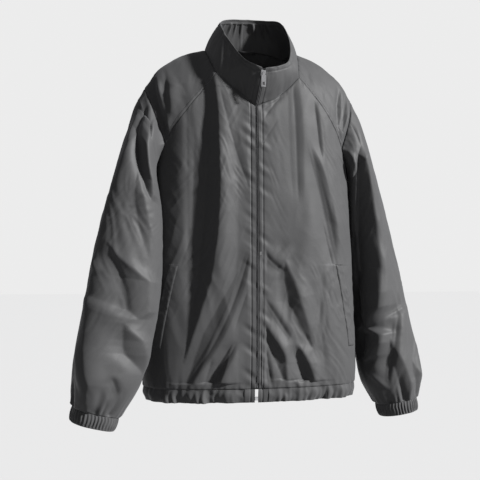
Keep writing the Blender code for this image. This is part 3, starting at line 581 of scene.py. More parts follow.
def front_top(side):
    """Turns and heights of a front's upper edge, from the zip to the underarm."""
    neck = FRONT_NECK.copy()
    neck[0, 0] = side * front_edge(side)
    places = upper_edge(neck, FRONT_RAGLAN, FRONT_UNDERARM, 1.5)
    turns = body_turn(side * places[:, 0], places[:, 1])
    turns[-1] = side * math.pi / 2
    return np.column_stack([turns, places[:, 1]])


def back_top():
    """Turns and heights of the back's upper edge, from the left underarm to the right one."""
    half = upper_edge(BACK_NECK, BACK_RAGLAN, BACK_UNDERARM, 1.0)
    turns = math.pi - body_turn(half[:, 0], half[:, 1])
    turns[-1] = math.pi / 2
    left = np.column_stack([turns, half[:, 1]])
    right = np.column_stack([2 * math.pi - turns, half[:, 1]])
    return np.vstack([left[::-1], right[1:]])


def hem_turns(side, top):
    """Turns of a front's columns at the hem band: each below its own top, spread out at the side."""
    across = np.abs(body_point(top[:, 0], top[:, 1])[:, 0])
    reach = smooth(BODY, BAND_TOP)[0] / across[-1] - 1
    turns = body_turn(side * across * (1 + reach * (across / across[-1]) ** 2), BAND_TOP)
    turns[0] = body_turn(front_edge(side), BAND_TOP)
    turns[-1] = side * math.pi / 2
    return turns


def front_grid(side):
    top = front_top(side)
    return body_columns(hem_turns(side, top), top)


def back_grid():
    top = back_top()
    return body_columns(np.linspace(math.pi / 2, 3 * math.pi / 2, len(top)), top)


# ---------------- shoulders and sleeves

def grid_normals(grid, centre, closed):
    """Outward normal at each point of a grid."""
    if closed:
        around = np.roll(grid, -1, axis=0) - np.roll(grid, 1, axis=0)
    else:
        around = np.gradient(grid, axis=0)
    normals = unit(np.cross(around, np.gradient(grid, axis=1)))
    if (normals * (grid - centre)).sum() < 0:
        normals = -normals
    return normals


def back_seam(side, back):
    """The back's points along one raglan seam, from the neck outwards."""
    outer = UNDERARM_STEPS if side > 0 else len(back) - 1 - UNDERARM_STEPS
    inner = outer + side * RAGLAN_STEPS
    return back[inner:outer - side:-side, -1]


def shoulder_grid(side, front, back):
    """Shoulder panel: ribs over the shoulder from the front seam to the back seam."""
    seam = front[NECK_STEPS:NECK_STEPS + RAGLAN_STEPS + 1, -1]
    shares = np.linspace(0.0, 1.0, RAGLAN_STEPS + 1)
    ribs = []
    for share, before, behind in zip(shares, seam, back_seam(side, back)):
        across, height = smooth(SHOULDER, share)
        if side > 0:
            across -= LEFT_DROP[0] * share
            height -= LEFT_DROP[1] * share
        top = np.array([side * across, 0.0, height])
        fullness = SHOULDER_FULLNESS[0] + (SHOULDER_FULLNESS[1] - SHOULDER_FULLNESS[0]) * share
        rise = np.array([0.3 * side, 0.0, 0.7]) * fullness
        forward = np.array([0.0, -0.7, 0.0]) * fullness
        path = [before, (before + top) / 2 + rise + forward, top, (behind + top) / 2 + rise - forward, behind]
        ribs.append(along(path, OVER_STEPS))
    grid = np.array(ribs)
    share, way = np.meshgrid(shares, np.linspace(0.0, 1.0, OVER_STEPS + 1), indexing="ij")
    out, over = share * SHOULDER_SIZE[0], way * SHOULDER_SIZE[1]
    relief = wrinkles(out, over, 61 + side) * 0.8
    relief += fold_height(out, over, SHOULDER_FOLDS[side])
    relief += facet_height(out, over, SHOULDER_FACETS[side])
    relief *= ends_fade(share, 0.1) * ends_fade(way, 0.08)
    return grid + grid_normals(grid, BODY_CENTRE, False) * relief[..., None]


def armhole(side, front, back, shoulder):
    """Points round an armhole, from the top of the shoulder down the front."""
    middle = OVER_STEPS // 2
    rib = shoulder[-1]
    front_part = front[NECK_STEPS + RAGLAN_STEPS + 1:, -1]
    back_part = back[1:UNDERARM_STEPS, -1] if side > 0 else back[-2:-1 - UNDERARM_STEPS:-1, -1]
    return np.vstack([rib[middle::-1], front_part, back_part, rib[:middle:-1]])


def clear_of_body(points, gap):
    """Points moved out to a gap from the body where they would be nearer."""
    sizes = smooth(BODY, points[..., 2])
    reach = (np.abs(points[..., 0] / (sizes[..., 0] + gap)) ** ROUNDNESS
             + np.abs(points[..., 1] / (sizes[..., 1] + gap)) ** ROUNDNESS) ** (1 / ROUNDNESS)
    out = points.copy()
    out[..., :2] /= np.minimum(reach, 1.0)[..., None]
    return out


def sleeve_form(side, share, turns):
    """Points of a sleeve's plain form and the ways outward, for arrays of shares and turns."""
    rows = smooth(SLEEVES[side], share)
    outer_x, outer_z, inner_x, inner_z, centre_y, half_depth = np.moveaxis(rows, -1, 0)
    nought = 0 * outer_x
    centre = np.stack([side * (outer_x + inner_x) / 2, centre_y, (outer_z + inner_z) / 2], axis=-1)
    outer = np.stack([side * (outer_x - inner_x) / 2, nought, (outer_z - inner_z) / 2], axis=-1)
    forward = np.stack([nought, -half_depth, nought], axis=-1)
    a = signed_power(np.cos(turns), 2 / SLEEVE_ROUNDNESS)[..., None]
    b = signed_power(np.sin(turns), 2 / SLEEVE_ROUNDNESS)[..., None]
    reach = outer * a + forward * b
    return centre + reach, unit(reach)


def sleeve_relief(side, share, turn):
    """Folds of a sleeve, with gathers at its head and above the cuff."""
    signed = np.where(turn < math.pi, turn, turn - 2 * math.pi)
    around = SLEEVE_AROUND * signed / (2 * math.pi)
    way = share * SLEEVE_ALONG
    relief = fold_height(around, way, SLEEVE_FOLDS[side]) + facet_height(around, way, SLEEVE_FACETS[side])
    relief += wrinkles(around, way, 71 + side)
    relief *= soft_step(share / 0.05) * soft_step((1.02 - share) / 0.05)
    head = np.exp(-(way / 0.02)) * soft_step(way / 0.004)
    relief += SLEEVE_HEAD * head * noise(around / 0.008, way / 0.05, 77)
    end = SLEEVE_ALONG - way
    gather = np.exp(-((end / 0.03) ** 1.3)) * soft_step(end / 0.004)
    pleats = 1 - 3 * np.abs(noise(around / 0.019, way / 0.09, 81))
    pleats += 0.5 * noise(around / 0.008, way / 0.05, 83)
    relief += SLEEVE_GATHER * gather * pleats
    under_seam = around > SLEEVE_AROUND / 2 - 0.001
    return relief * ~under_seam


def sleeve_grid(side, loop):
    """Sleeve whose plain form is drawn to the armhole's points, fully at the seam and less below it."""
    notch = 0.6 * math.pi  # turn at which the armhole passes from the shoulder to the underarm
    middle = OVER_STEPS // 2
    down = np.r_[np.linspace(0.0, notch, middle + 1), np.linspace(notch, math.pi, UNDERARM_STEPS + 1)[1:]]
    turns = np.r_[down, 2 * math.pi - down[-2:0:-1]]
    share, turn = np.meshgrid(np.linspace(0.0, 1.0, SLEEVE_ROWS + 1), turns)
    points, ways = sleeve_form(side, share, turn)
    start = loop - points[:, 0]
    broad = start
    for _ in range(ARMHOLE_SMOOTHING):
        broad = (np.roll(broad, 1, axis=0) + 2 * broad + np.roll(broad, -1, axis=0)) / 4
    for shift, reach in ((broad, 0.25), (start - broad, 0.06)):
        points = points + shift[:, None] * (np.maximum(0.0, 1 - share / reach) ** 2)[..., None]
    points = points + ways * sleeve_relief(side, share, turn)[..., None]
    pressed = clear_of_body(points, ARM_GAP * soft_step(share / 0.15) * 0.8)
    pressed[:, 0] = loop
    return pressed


# ---------------- casings: hem band and cuffs

def casing(outer_low, outer_high, inward, puff, folds):
    """A folded casing between a lower and an upper line of points: outside, turn and inside."""
    rows = []
    for share in np.linspace(1.0, 0.0, BAND_ROWS + 1):
        middle = outer_low + (outer_high - outer_low) * share
        rows.append(middle - inward * (puff * math.sin(math.pi * share) + folds(share))[..., None])
    for turn in (0.25, 0.5, 0.75):
        drop = (outer_low - outer_high) / BAND * PLY * math.sin(math.pi * turn)
        rows.append(outer_low + inward * PLY * (1 - math.cos(math.pi * turn)) + drop)
    for share in np.linspace(0.0, 1.0, BAND_ROWS // 2 + 1):
        middle = outer_low + (outer_high - outer_low) * share
        rows.append(middle + inward * (2 * PLY + 0.4 * puff * math.sin(math.pi * share)))
    return np.array(rows).transpose(1, 0, 2)


def hem_casing(turns, gathered, seed):
    """Hem band or tab over a run of turns, puckered by its elastic as much as gathered says."""
    low = body_point(turns, HEM_HEIGHT)
    high = body_point(turns, BAND_TOP)
    inward = unit(-low * (1.0, 1.0, 0.0))
    run = run_along(low)

    def folds(share):
        ripple = noise(run / 0.013 + share * 1.6, share * 1.5, seed)
        ripple += 0.5 * noise(run / 0.006 - share * 1.1, share, seed + 1)
        return gathered * HEM_GATHER * ripple * (0.5 + 0.5 * math.sin(math.pi * share))

    return casing(low, high, inward, BAND_PUFF, folds)


def cuff_casing(ring, above):
    """Elastic cuff: fine upright pleats between two edges, drawn in towards the wrist."""
    centre = ring.mean(axis=0)
    way = unit(centre - above.mean(axis=0))
    low = centre + (ring - centre) * 0.95 + way * BAND
    turns = np.arange(len(ring)) / len(ring)

    def folds(share):
        shift = 0.006 * noise(turns * 9, share * 3, 91)
        pleats = np.sin(2 * math.pi * CUFF_PLEATS * (turns + shift))
        uneven = 0.7 + 0.5 * noise(turns * 23, share * 1.3, 93)
        return CUFF_PLEAT * pleats * uneven * (0.35 + 0.65 * math.sin(math.pi * share) ** 0.5)

    return casing(low, ring, unit(centre - ring), CUFF_PUFF, folds)


# ---------------- collar

def neck_seam(fronts, back, shoulders):
    """Points along the neck from the zip round over the right shoulder and back to the zip."""
    first = UNDERARM_STEPS + RAGLAN_STEPS
    return np.vstack([
        fronts[-1][:NECK_STEPS, -1], shoulders[-1][0], back[first + 1:first + 2 * NECK_STEPS, -1][::-1],
        shoulders[1][0][::-1], fronts[1][:NECK_STEPS, -1][::-1],
    ])


def collar_grid(seam):
    """Stand collar of two layers: outside up to the rim, over it and down the inside."""
    run = run_along(seam)
    edge = math.asin(ZIP_EDGE / RIM_HALF_WIDTH)
    turns = edge + (2 * math.pi - 2 * edge) * run / run[-1]
    outward = np.column_stack([-np.sin(turns), -np.cos(turns), 0 * turns])
    heights = smooth(COLLAR_RIM, np.degrees(np.minimum(turns, 2 * math.pi - turns)))
    height = np.where(turns < math.pi, heights[:, 0], heights[:, 1])
    rim = np.column_stack([RIM_CENTRE[0] + RIM_HALF_WIDTH * outward[:, 0],
                           RIM_CENTRE[1] + RIM_HALF_DEPTH * outward[:, 1], height])
    zip_away = np.minimum(run, run[-1] - run)
    free = soft_step((zip_away - 0.012) / 0.03)
    rise = unit(rim - seam)
    stand = np.linalg.norm(rim - seam, axis=1)
    hollow = soft_step(run / 0.045) * soft_step((0.125 - run) / 0.075)

    def outside(share, above, below):
        relief = 0.7 * wrinkles(run, above, 121) * free * soft_step(above / 0.02)
        relief -= COLLAR_HOLLOW * hollow * (1 - 0.55 * share)
        relief += fold_height(run, above, COLLAR_FOLDS) * soft_step(below / 0.012)
        relief += COLLAR_RIM_RIPPLE * np.exp(-(below / 0.012)) * noise(run / 0.008, share * 3, 103) * free
        relief -= RIM_GROOVE * bell(below - COLLAR_TOPSTITCH, 0.0012)
        relief += COLLAR_SEAM_RIPPLE * np.exp(-(above / 0.012)) * noise(run / 0.008, 0.0, 105)
        relief += COLLAR_END_RIPPLE * bell(zip_away - 0.014, 0.01) * noise(share * 6, 0.0, 107)
        return relief * soft_step(above / 0.004)

    def inside(share, below):
        gather = bell(below - 0.016, 0.016) * soft_step((below - 0.006) / 0.004)
        pleats = np.clip(noise(run / 0.0085, share * 1.2, 111), -1.0, 0.1)
        relief = LINING_GATHER * gather * pleats * free
        relief -= LINING_GROOVE * bell(below - COLLAR_TOPSTITCH, 0.0014)
        relief += LINING_RIPPLE * noise(run / 0.022, share * 1.6, 113) * free
        return relief - COLLAR_HOLLOW * hollow * (1 - 0.55 * share) - 2 * COLLAR_PLY

    def column(share, relief):
        bulge = COLLAR_BULGE * math.sin(math.pi * share)
        return seam + (rim - seam) * share + outward * (bulge + relief)[..., None]

    shares = np.linspace(0.0, 1.0, COLLAR_ROWS + 1)
    columns = [column(share, outside(share, share * stand, (1 - share) * stand)) for share in shares]
    for turn in (0.2, 0.4, 0.6, 0.8):
        over = rise * COLLAR_PLY * math.sin(math.pi * turn)
        columns.append(rim + over - outward * COLLAR_PLY * (1 - math.cos(math.pi * turn)))
    for share in np.linspace(1.0, 0.0, COLLAR_ROWS + 1):
        columns.append(column(share, inside(share, (1 - share) * stand)))
    return np.array(columns).transpose(1, 0, 2)


# ---------------- seams and stitches

def edge_lines(grid, edge):
    """The grid seen from one of its edges: lines of points that start on that edge."""
    views = {"first": grid, "last": grid[::-1], "bottom": grid.transpose(1, 0, 2),
             "top": grid[:, ::-1].transpose(1, 0, 2)}
    return views[edge]


def edge_distance(grid, edge):
    """Distance of every point from an edge along the grid, and its way along that edge."""
    lines = edge_lines(grid, edge)
    distance = lengths_down(lines)
    way = np.broadcast_to(run_along(lines[0]), distance.shape)
    if edge == "last":
        return distance[::-1], way
    if edge == "bottom":
        return distance.T, way.T
    if edge == "top":
        return distance.T[:, ::-1], way.T
    return distance, way


def sew(grid, centre, edges, seed, closed=False):
    """Presses a grid down along its sewn edges, with puckers beside them."""
    nearest = np.full(grid.shape[:2], 1.0)
    relief = np.zeros(grid.shape[:2])
    for k, edge in enumerate(edges):
        distance, way = edge_distance(grid, edge)
        nearest = np.minimum(nearest, distance)
        relief += pucker(distance, way, seed + k) * soft_step(distance / 0.003)
    relief += SEAM_LIFT * (1 - bell(nearest, SEAM_PRESS))
    return grid + grid_normals(grid, centre, closed) * relief[..., None], nearest


def stitch_line(grid, centre, edge, distance, closed=False, lift=0.0):
    """Points and ways out on a grid, along an edge and a distance from it."""
    lines = edge_lines(grid, edge)
    ways = edge_lines(grid_normals(grid, centre, closed), edge)
    marks = lengths_down(lines)
    i = np.clip((marks < distance).sum(axis=0) - 1, 0, len(marks) - 2)
    j = np.arange(lines.shape[1])
    t = ((distance - marks[i, j]) / np.maximum(marks[i + 1, j] - marks[i, j], 1e-9))[:, None]
    outward = ways[i, j] * (1 - t) + ways[i + 1, j] * t
    return lines[i, j] * (1 - t) + lines[i + 1, j] * t + outward * lift, outward


def add_stitches(points, outward):
    """One row of stitching: a short rounded bar for each stitch."""
    run = run_along(points)
    starts = np.arange(0.4 * STITCH_PITCH, run[-1] - STITCH_LENGTH, STITCH_PITCH)
    begin, end = at_marks(starts, run, points), at_marks(starts + STITCH_LENGTH, run, points)
    threads.append(bars(begin, end, at_marks(starts, run, outward), THREAD, THREAD * 0.2))


def add_row(grid, centre, edge, away, part=slice(None), **how):
    """A row of stitching along part of a grid's edge, at a distance from it."""
    points, outward = stitch_line(grid, centre, edge, away, **how)
    add_stitches(points[part], outward[part])


def bars(begin, end, out, radius, sink):
    """Vertices and faces of rounded six-sided bars between pairs of points."""
    length = end - begin
    lean = length * (out * length).sum(axis=1, keepdims=True) / (length**2).sum(axis=1, keepdims=True)
    out = unit(out - lean)
    side = unit(np.cross(length, out))
    rings = []
    for share, size in ((0.0, 0.35), (0.12, 0.85), (0.5, 1.0), (0.88, 0.85), (1.0, 0.35)):
        for turn in np.arange(6) * math.pi / 3:
            around = side * math.cos(turn) + out * math.sin(turn)
            rings.append(begin + length * share + around * radius * size - out * sink)
    vertices = np.array(rings).transpose(1, 0, 2).reshape(-1, 3)
    faces = [(r * 6 + k, r * 6 + (k + 1) % 6, r * 6 + 6 + (k + 1) % 6, r * 6 + 6 + k)
             for r in range(4) for k in range(6)]
    faces = np.array(faces)[None] + (np.arange(len(begin)) * len(rings))[:, None, None]
    return vertices, faces.reshape(-1, 4)


def joined(parts):
    """Several sets of vertices and faces as one."""
    vertices, faces, count = [], [], 0
    for points, quads in parts:
        vertices.append(points)
        faces.append(quads + count)
        count += len(points)
    return np.vstack(vertices), np.vstack(faces)


# ---------------- meshes

def make_mesh(name, vertices, faces, material):
    mesh = bpy.data.meshes.new(name)
    mesh.from_pydata(vertices.tolist(), [], faces.tolist())
    mesh.update()
    mesh.shade_smooth()
    mesh.materials.append(material)
    piece = bpy.data.objects.new(name, mesh)
    bpy.context.scene.collection.objects.link(piece)
    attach(piece, "jacket")
    return piece


def grid_faces(count_u, count_v, closed):
    i, j = np.meshgrid(np.arange(count_u if closed else count_u - 1), np.arange(count_v - 1), indexing="ij")
    here, beside = i * count_v + j, (i + 1) % count_u * count_v + j
    return np.stack([here, beside, beside + 1, here + 1], axis=-1).reshape(-1, 4)


def cloth_mesh(name, grid, material, centre, closed=False, seam=None, stitched=None):
    """A sheet of cloth through a grid of points, with its lengths for the weave and its seam distances."""
    faces = grid_faces(grid.shape[0], grid.shape[1], closed)
    around = np.roll(grid, -1, axis=0) - grid if closed else np.gradient(grid, axis=0)
    normals = np.cross(around, np.gradient(grid, axis=1))
    if (normals * (grid - centre)).sum() < 0:
        faces = faces[:, ::-1]
    piece = make_mesh(name, grid.reshape(-1, 3), faces, material)
    u = lengths_down(grid)
    v = lengths_down(grid.transpose(1, 0, 2)).T
    layer = piece.data.uv_layers.new(name="lengths")
    indices = np.empty(len(piece.data.loops), int)
    piece.data.loops.foreach_get("vertex_index", indices)
    lengths = np.column_stack([u.ravel(), v.ravel()])[indices]
    layer.data.foreach_set("uv", lengths.ravel())
    for word, values in (("seam", seam), ("stitched", stitched)):
        attribute = piece.data.attributes.new(word, "FLOAT", "POINT")
        filled = np.full(grid.shape[:2], 1.0) if values is None else values
        attribute.data.foreach_set("value", filled.ravel().astype(np.float32))
    return piece


def grid_area(grid, closed=False):
    if closed:
        grid = np.concatenate([grid, grid[:1]])
    edge_a = np.diff(grid, axis=0)[:, :-1]
    edge_b = np.diff(grid, axis=1)[:-1]
    return float(np.linalg.norm(np.cross(edge_a, edge_b), axis=2).sum())


# ---------------- materials

def principled(name, colour, roughness, metallic=0.0, specular=0.5):
    material = bpy.data.materials.new(name)
    material.use_nodes = True
    shader = material.node_tree.nodes["Principled BSDF"]
    shader.inputs["Base Color"].default_value = (*colour, 1.0)
    shader.inputs["Roughness"].default_value = roughness
    shader.inputs["Metallic"].default_value = metallic
    shader.inputs["Specular IOR Level"].default_value = specular
    return material, material.node_tree.nodes, material.node_tree.links, shader


def math_node(nodes, links, operation, first, second=None):
    node = nodes.new("ShaderNodeMath")
    node.operation = operation
    for socket, value in zip(node.inputs, (first, second)):
        if value is None:
            continue
        if isinstance(value, (int, float)):
            socket.default_value = value
        else:
            links.new(value, socket)
    return node.outputs[0]


def line_height(nodes, links, distance, at, width):
    """A bell of height one where a distance passes a value."""
    off = math_node(nodes, links, "SUBTRACT", distance, at)
    scaled = math_node(nodes, links, "DIVIDE", off, width)
    squared = math_node(nodes, links, "MULTIPLY", scaled, scaled)
    return math_node(nodes, links, "POWER", math.exp(-1.0), squared)


def add_node(nodes, kind, **values):
    """A shader node with values set on its inputs; an underscore stands for a space in their names."""
    node = nodes.new("ShaderNode" + kind)
    for word, value in values.items():
        node.inputs[word.replace("_", " ")].default_value = value
    return node


def noise_height(nodes, links, vector, scale, detail=2.0):
    node = add_node(nodes, "TexNoise", Scale=scale, Detail=detail)
    links.new(vector, node.inputs["Vector"])
    return node.outputs["Fac"]


def uneven_gloss(nodes, links, shader, value, low, high):
    """Roughness that runs from low to high with a value between 0 and 1."""
    gloss = add_node(nodes, "MapRange", To_Min=low, To_Max=high)
    links.new(value, gloss.inputs["Value"])
    links.new(gloss.outputs["Result"], shader.inputs["Roughness"])


def add_bump(nodes, links, shader, height, distance):
    bump = add_node(nodes, "Bump", Distance=distance, Strength=1.0)
    links.new(height, bump.inputs["Height"])
    links.new(bump.outputs["Normal"], shader.inputs["Normal"])


def cloth_material(name, colour, sheen, weave):
    """Woven nylon: fine threads, crinkle, pressed seams, stitch dimples and slight unevenness."""
    material, nodes, links, shader = principled(name, colour, CLOTH_GLOSS[0], specular=0.16)
    shader.inputs["Sheen Weight"].default_value = sheen
    shader.inputs["Sheen Roughness"].default_value = 0.45
    shader.inputs["Sheen Tint"].default_value = SHEEN_TINT
    lengths = nodes.new("ShaderNodeUVMap")
    lengths.uv_map = "lengths"
    place = nodes.new("ShaderNodeTexCoord").outputs["Object"]
    woven = []
    for way in ("X", "Y"):
        wave = add_node(nodes, "TexWave", Scale=weave[0])
        wave.bands_direction = way
        links.new(lengths.outputs["UV"], wave.inputs["Vector"])
        woven.append(wave.outputs["Fac"])
    height = math_node(nodes, links, "MULTIPLY", math_node(nodes, links, "MAXIMUM", *woven), weave[1])
    reliefs = [(noise_height(nodes, links, place, scale), depth) for scale, depth in CRINKLES]
    for word, lines in (("seam", SEAM_BUMP), ("stitched", STITCH_BUMP)):
        distance = nodes.new("ShaderNodeAttribute")
        distance.attribute_name = word
        for at, width, depth in lines:
            reliefs.append((line_height(nodes, links, distance.outputs["Fac"], at, width), depth))
    for relief, depth in reliefs:
        height = math_node(nodes, links, "ADD", height, math_node(nodes, links, "MULTIPLY", relief, depth))
    add_bump(nodes, links, shader, height, 1.0)
    tone = nodes.new("ShaderNodeMix")
    tone.data_type = "RGBA"
    tone.inputs["A"].default_value = (*(c * 0.9 for c in colour), 1.0)
    tone.inputs["B"].default_value = (*(c * 1.1 for c in colour), 1.0)
    links.new(noise_height(nodes, links, place, 14.0, 4.0), tone.inputs["Factor"])
    links.new(tone.outputs["Result"], shader.inputs["Base Color"])
    uneven_gloss(nodes, links, shader, noise_height(nodes, links, place, 30.0), *CLOTH_GLOSS)
    return material


def metal_material(name, colour, roughness):
    """Worn cast metal: fine scratches and small dull patches."""
    material, nodes, links, shader = principled(name, colour, roughness, metallic=1.0)
    place = nodes.new("ShaderNodeTexCoord").outputs["Object"]
    patches = noise_height(nodes, links, place, 700.0, 4.0)
    uneven_gloss(nodes, links, shader, patches, roughness * 0.7, roughness * 1.4)
    add_bump(nodes, links, shader, patches, 0.00006)
    return material


shell = cloth_material("windbreaker_cloth_look", CLOTH_COLOUR, 0.1, WEAVE)
thread = cloth_material("thread_look", THREAD_COLOUR, 0.05, RIBS)
tape = cloth_material("zip_tape_look", TAPE_COLOUR, 0.05, RIBS)
metal = metal_material("zip_metal_look", ZIP_METAL, 0.34)
bright_metal = metal_material("retainer_look", BRIGHT_METAL, 0.3)

# ---------------- panels

flat_front = {side: front_grid(side) for side in (-1, 1)}
flat_back = back_grid()
flat_shoulder = {side: shoulder_grid(side, flat_front[side], flat_back) for side in (-1, 1)}
threads = []


def with_turned_edge(grid, centre):
    """A front panel with its zip edge turned back over a narrow facing."""
    inward = -grid_normals(grid, centre, False)[0]
    across = unit(grid[0] - grid[1])
    facing = [grid[6] + inward * 2 * PLY, grid[0] + inward * 2 * PLY,
              grid[0] + inward * PLY * 1.4 + across * PLY * 0.8,
              grid[0] + inward * PLY * 0.5 + across * PLY * 0.6]
    return np.concatenate([np.array(facing), grid])


def add_cloth(node, grid, centre, held, cut, rests_on, area, material=shell, slot="windbreaker_cloth", **how):
    """A cloth piece in place of its CAD node, which is hidden."""
    piece = cloth_mesh(node + "_cloth", grid, material, centre, **how)
    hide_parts(node)


def add_front(side):
    grid, seam = sew(flat_front[side], BODY_CENTRE, ("top", "last", "bottom"), 200 + side)
    below_pocket = grid[..., 2] < WELT_BOTTOM[1] - 0.01
    stitched = np.where(below_pocket, edge_distance(grid, "last")[0], 1.0)
    add_row(grid, BODY_CENTRE, "first", PLACKET_STITCH)
    for away in STITCH_ROWS:
        points, outward = stitch_line(grid, BODY_CENTRE, "last", away)
        low = points[:, 2] < WELT_BOTTOM[1] - 0.012
        add_stitches(points[low], outward[low])
        add_row(grid, BODY_CENTRE, "top", away, slice(NECK_STEPS + RAGLAN_STEPS, None))
    turned = with_turned_edge(grid, BODY_CENTRE)
    pad = np.full((len(turned) - len(grid), seam.shape[1]), 1.0)
    node = HAND[side] + "_front"
    add_cloth(node, turned, BODY_CENTRE, "gathered", CUTS["front"], ("wearer_shoulders",),
              grid_area(grid) * 1.03, seam=np.vstack([pad, seam]), stitched=np.vstack([pad, stitched]))
    return grid


def add_back():
    grid, seam = sew(flat_back, BODY_CENTRE, ("first", "last", "top", "bottom"), 210)
    add_cloth("back", grid, BODY_CENTRE, "gathered", CUTS["back"], ("wearer_shoulders",),
              grid_area(grid) * 1.03, seam=seam)
    for away in STITCH_ROWS:
        for part in (slice(0, UNDERARM_STEPS), slice(-UNDERARM_STEPS, None)):
            add_row(grid, BODY_CENTRE, "top", away, part)


def add_shoulder(side):
    grid, seam = sew(flat_shoulder[side], BODY_CENTRE, ("first", "last", "top", "bottom"), 220 + side)
    stitched = np.full(seam.shape, 1.0)
    for edge in ("last", "top", "bottom"):
        stitched = np.minimum(stitched, edge_distance(grid, edge)[0])
        for away in STITCH_ROWS:
            add_row(grid, BODY_CENTRE, edge, away)
    add_cloth(HAND[side] + "_shoulder", grid, BODY_CENTRE, "gathered", CUTS["shoulder"],
              ("wearer_shoulders",), grid_area(grid) * 1.02, seam=seam, stitched=stitched)


def add_sleeve(side):
    loop = armhole(side, flat_front[side], flat_back, flat_shoulder[side])
    raw = sleeve_grid(side, loop)
    centres = raw.mean(axis=0, keepdims=True)
    grid, seam = sew(raw, centres, ("bottom", "top"), 230 + side, closed=True)
    add_cloth(HAND[side] + "_sleeve", grid, centres, "gathered", CUTS["sleeve"], ("wearer_shoulders",),
              min(grid_area(grid, closed=True) * 1.04, AREA_LIMITS["sleeve"]), closed=True, seam=seam)
    return grid


def resampled_ring(ring, count):
    closed = np.vstack([ring, ring[:1]])
    run = run_along(closed)
    return at_marks(np.linspace(0.0, run[-1], count, endpoint=False), run, closed)


def add_cuff(side, sleeve):
    ring = resampled_ring(sleeve[:, -1], CUFF_COLUMNS)
    above = resampled_ring(sleeve[:, -30], CUFF_COLUMNS)
    grid = cuff_casing(ring, above)
    centre = grid.mean(axis=(0, 1))
    add_cloth(HAND[side] + "_cuff", grid, centre, "gathered", CUTS["cuff"], ("wearer_wrists",),
              min(grid_area(grid, closed=True) * 1.05, AREA_LIMITS["cuff"]), closed=True)
    for away in CUFF_STITCHES:
        add_row(grid[:, :BAND_ROWS], centre, "bottom", away, closed=True)


def add_collar(seam):
    grid = collar_grid(seam)
    centre = grid.mean(axis=(0, 1))
    outside, inside = grid[:, :COLLAR_ROWS + 1], grid[:, COLLAR_ROWS + 5:]
    base = np.full(grid.shape[:2], 1.0)
    base[:, :COLLAR_ROWS + 1] = edge_distance(outside, "bottom")[0]
    add_cloth("collar", grid, centre, "folded", CUTS["collar"], ("wearer_neck",),
              min(grid_area(grid) * 1.03, AREA_LIMITS["collar"]), seam=base)
    add_row(outside, centre, "top", COLLAR_TOPSTITCH)
    add_row(outside, centre, "bottom", 0.0022)
    add_row(inside, centre, "bottom", COLLAR_TOPSTITCH, lift=-2 * THREAD)
    for edge in ("first", "last"):
        add_row(outside, centre, edge, PLACKET_STITCH)
    return outside


def add_hem():
    """Elastic casing all round the hem, with a plain tab at each side of the zip."""
    starts = {side: body_turn(front_edge(side), BAND_TOP) for side in (-1, 1)}
    tabs = {side: body_turn(front_edge(side) + side * HEM_TAB, BAND_TOP) for side in (-1, 1)}
    centre = np.array([0.0, 0.0, HEM_HEIGHT])
    spans = (("right_hem_tab", np.linspace(tabs[-1], starts[-1], 16), 0.15, CUTS["hem_tab"]),
             ("left_hem_tab", np.linspace(starts[1], tabs[1], 16), 0.15, CUTS["hem_tab"]),
             ("hem_band", np.linspace(tabs[1], 2 * math.pi + tabs[-1], 640), 1.0, CUTS["hem_band"]))
    for k, (node, turns, gathered, cut) in enumerate(spans):
        grid = hem_casing(turns, gathered, 301 + 7 * k)
        largest = cut[0] * cut[1]
        add_cloth(node, grid, centre, "gathered", cut, ("wearer_hips",),
                  max(min(grid_area(grid) * 1.05, largest), LEAST_HEM_SHARE * largest))
        for edge, away in HEM_STITCHES:
            add_row(grid[:, :BAND_ROWS + 1], centre, edge, away)


def add_welt(side):
    """Pocket welt: a raised strip on the front, turned in along the open mouth, tacked at both ends."""
    cut = CUTS["pocket_welt"]
    share, across = np.meshgrid(np.linspace(0.0, 1.0, 90), np.linspace(0.0, 1.0, 14), indexing="ij")
    bow = WELT_BOW * 4 * share * (1 - share)
    x = WELT_TOP[0] + (WELT_BOTTOM[0] - WELT_TOP[0]) * share - WELT_WIDTH * (1 - across) + bow * 0.5
    z = WELT_TOP[1] + (WELT_BOTTOM[1] - WELT_TOP[1]) * share
    ends = ends_fade(share, 0.03)
    face = WELT_RISE * soft_step(across / 0.12) + WELT_MOUTH * across**3 * np.sin(np.pi * share)
    lift = WELT_BASE + ends * face
    lift += WELT_RIPPLE * noise(share * 22, across * 2, 401 + side) * ends
    grid = body_point(body_turn(side * x, z), z, lift)
    lip = grid[:, -1]
    inward = -unit(lip * (1.0, 1.0, 0.0))
    back_in = unit(grid[:, -2] - lip)
    turned = [lip + inward * 0.0006 - back_in * 0.0003, lip + inward * 0.0013,
              lip + inward * 0.0016 + back_in * 0.003]
    full = np.concatenate([grid, np.array(turned).transpose(1, 0, 2)], axis=1)
    add_cloth(HAND[side] + "_pocket_welt", full, BODY_CENTRE, "gathered", cut, (HAND[side] + "_front",),
              min(grid_area(full) * 1.02, cut[0] * cut[1]))
    add_row(grid, BODY_CENTRE, "bottom", 0.0012)
    for row in (1, -2):
        tack = grid[row][np.linspace(0, len(grid[row]) - 1, 12).astype(int)]
        half = np.array([0.0, 0.0, 0.0012])
        threads.append(bars(tack + half, tack - half, unit(tack * (1.0, 1.0, 0.0)), THREAD * 1.6, 0.0))


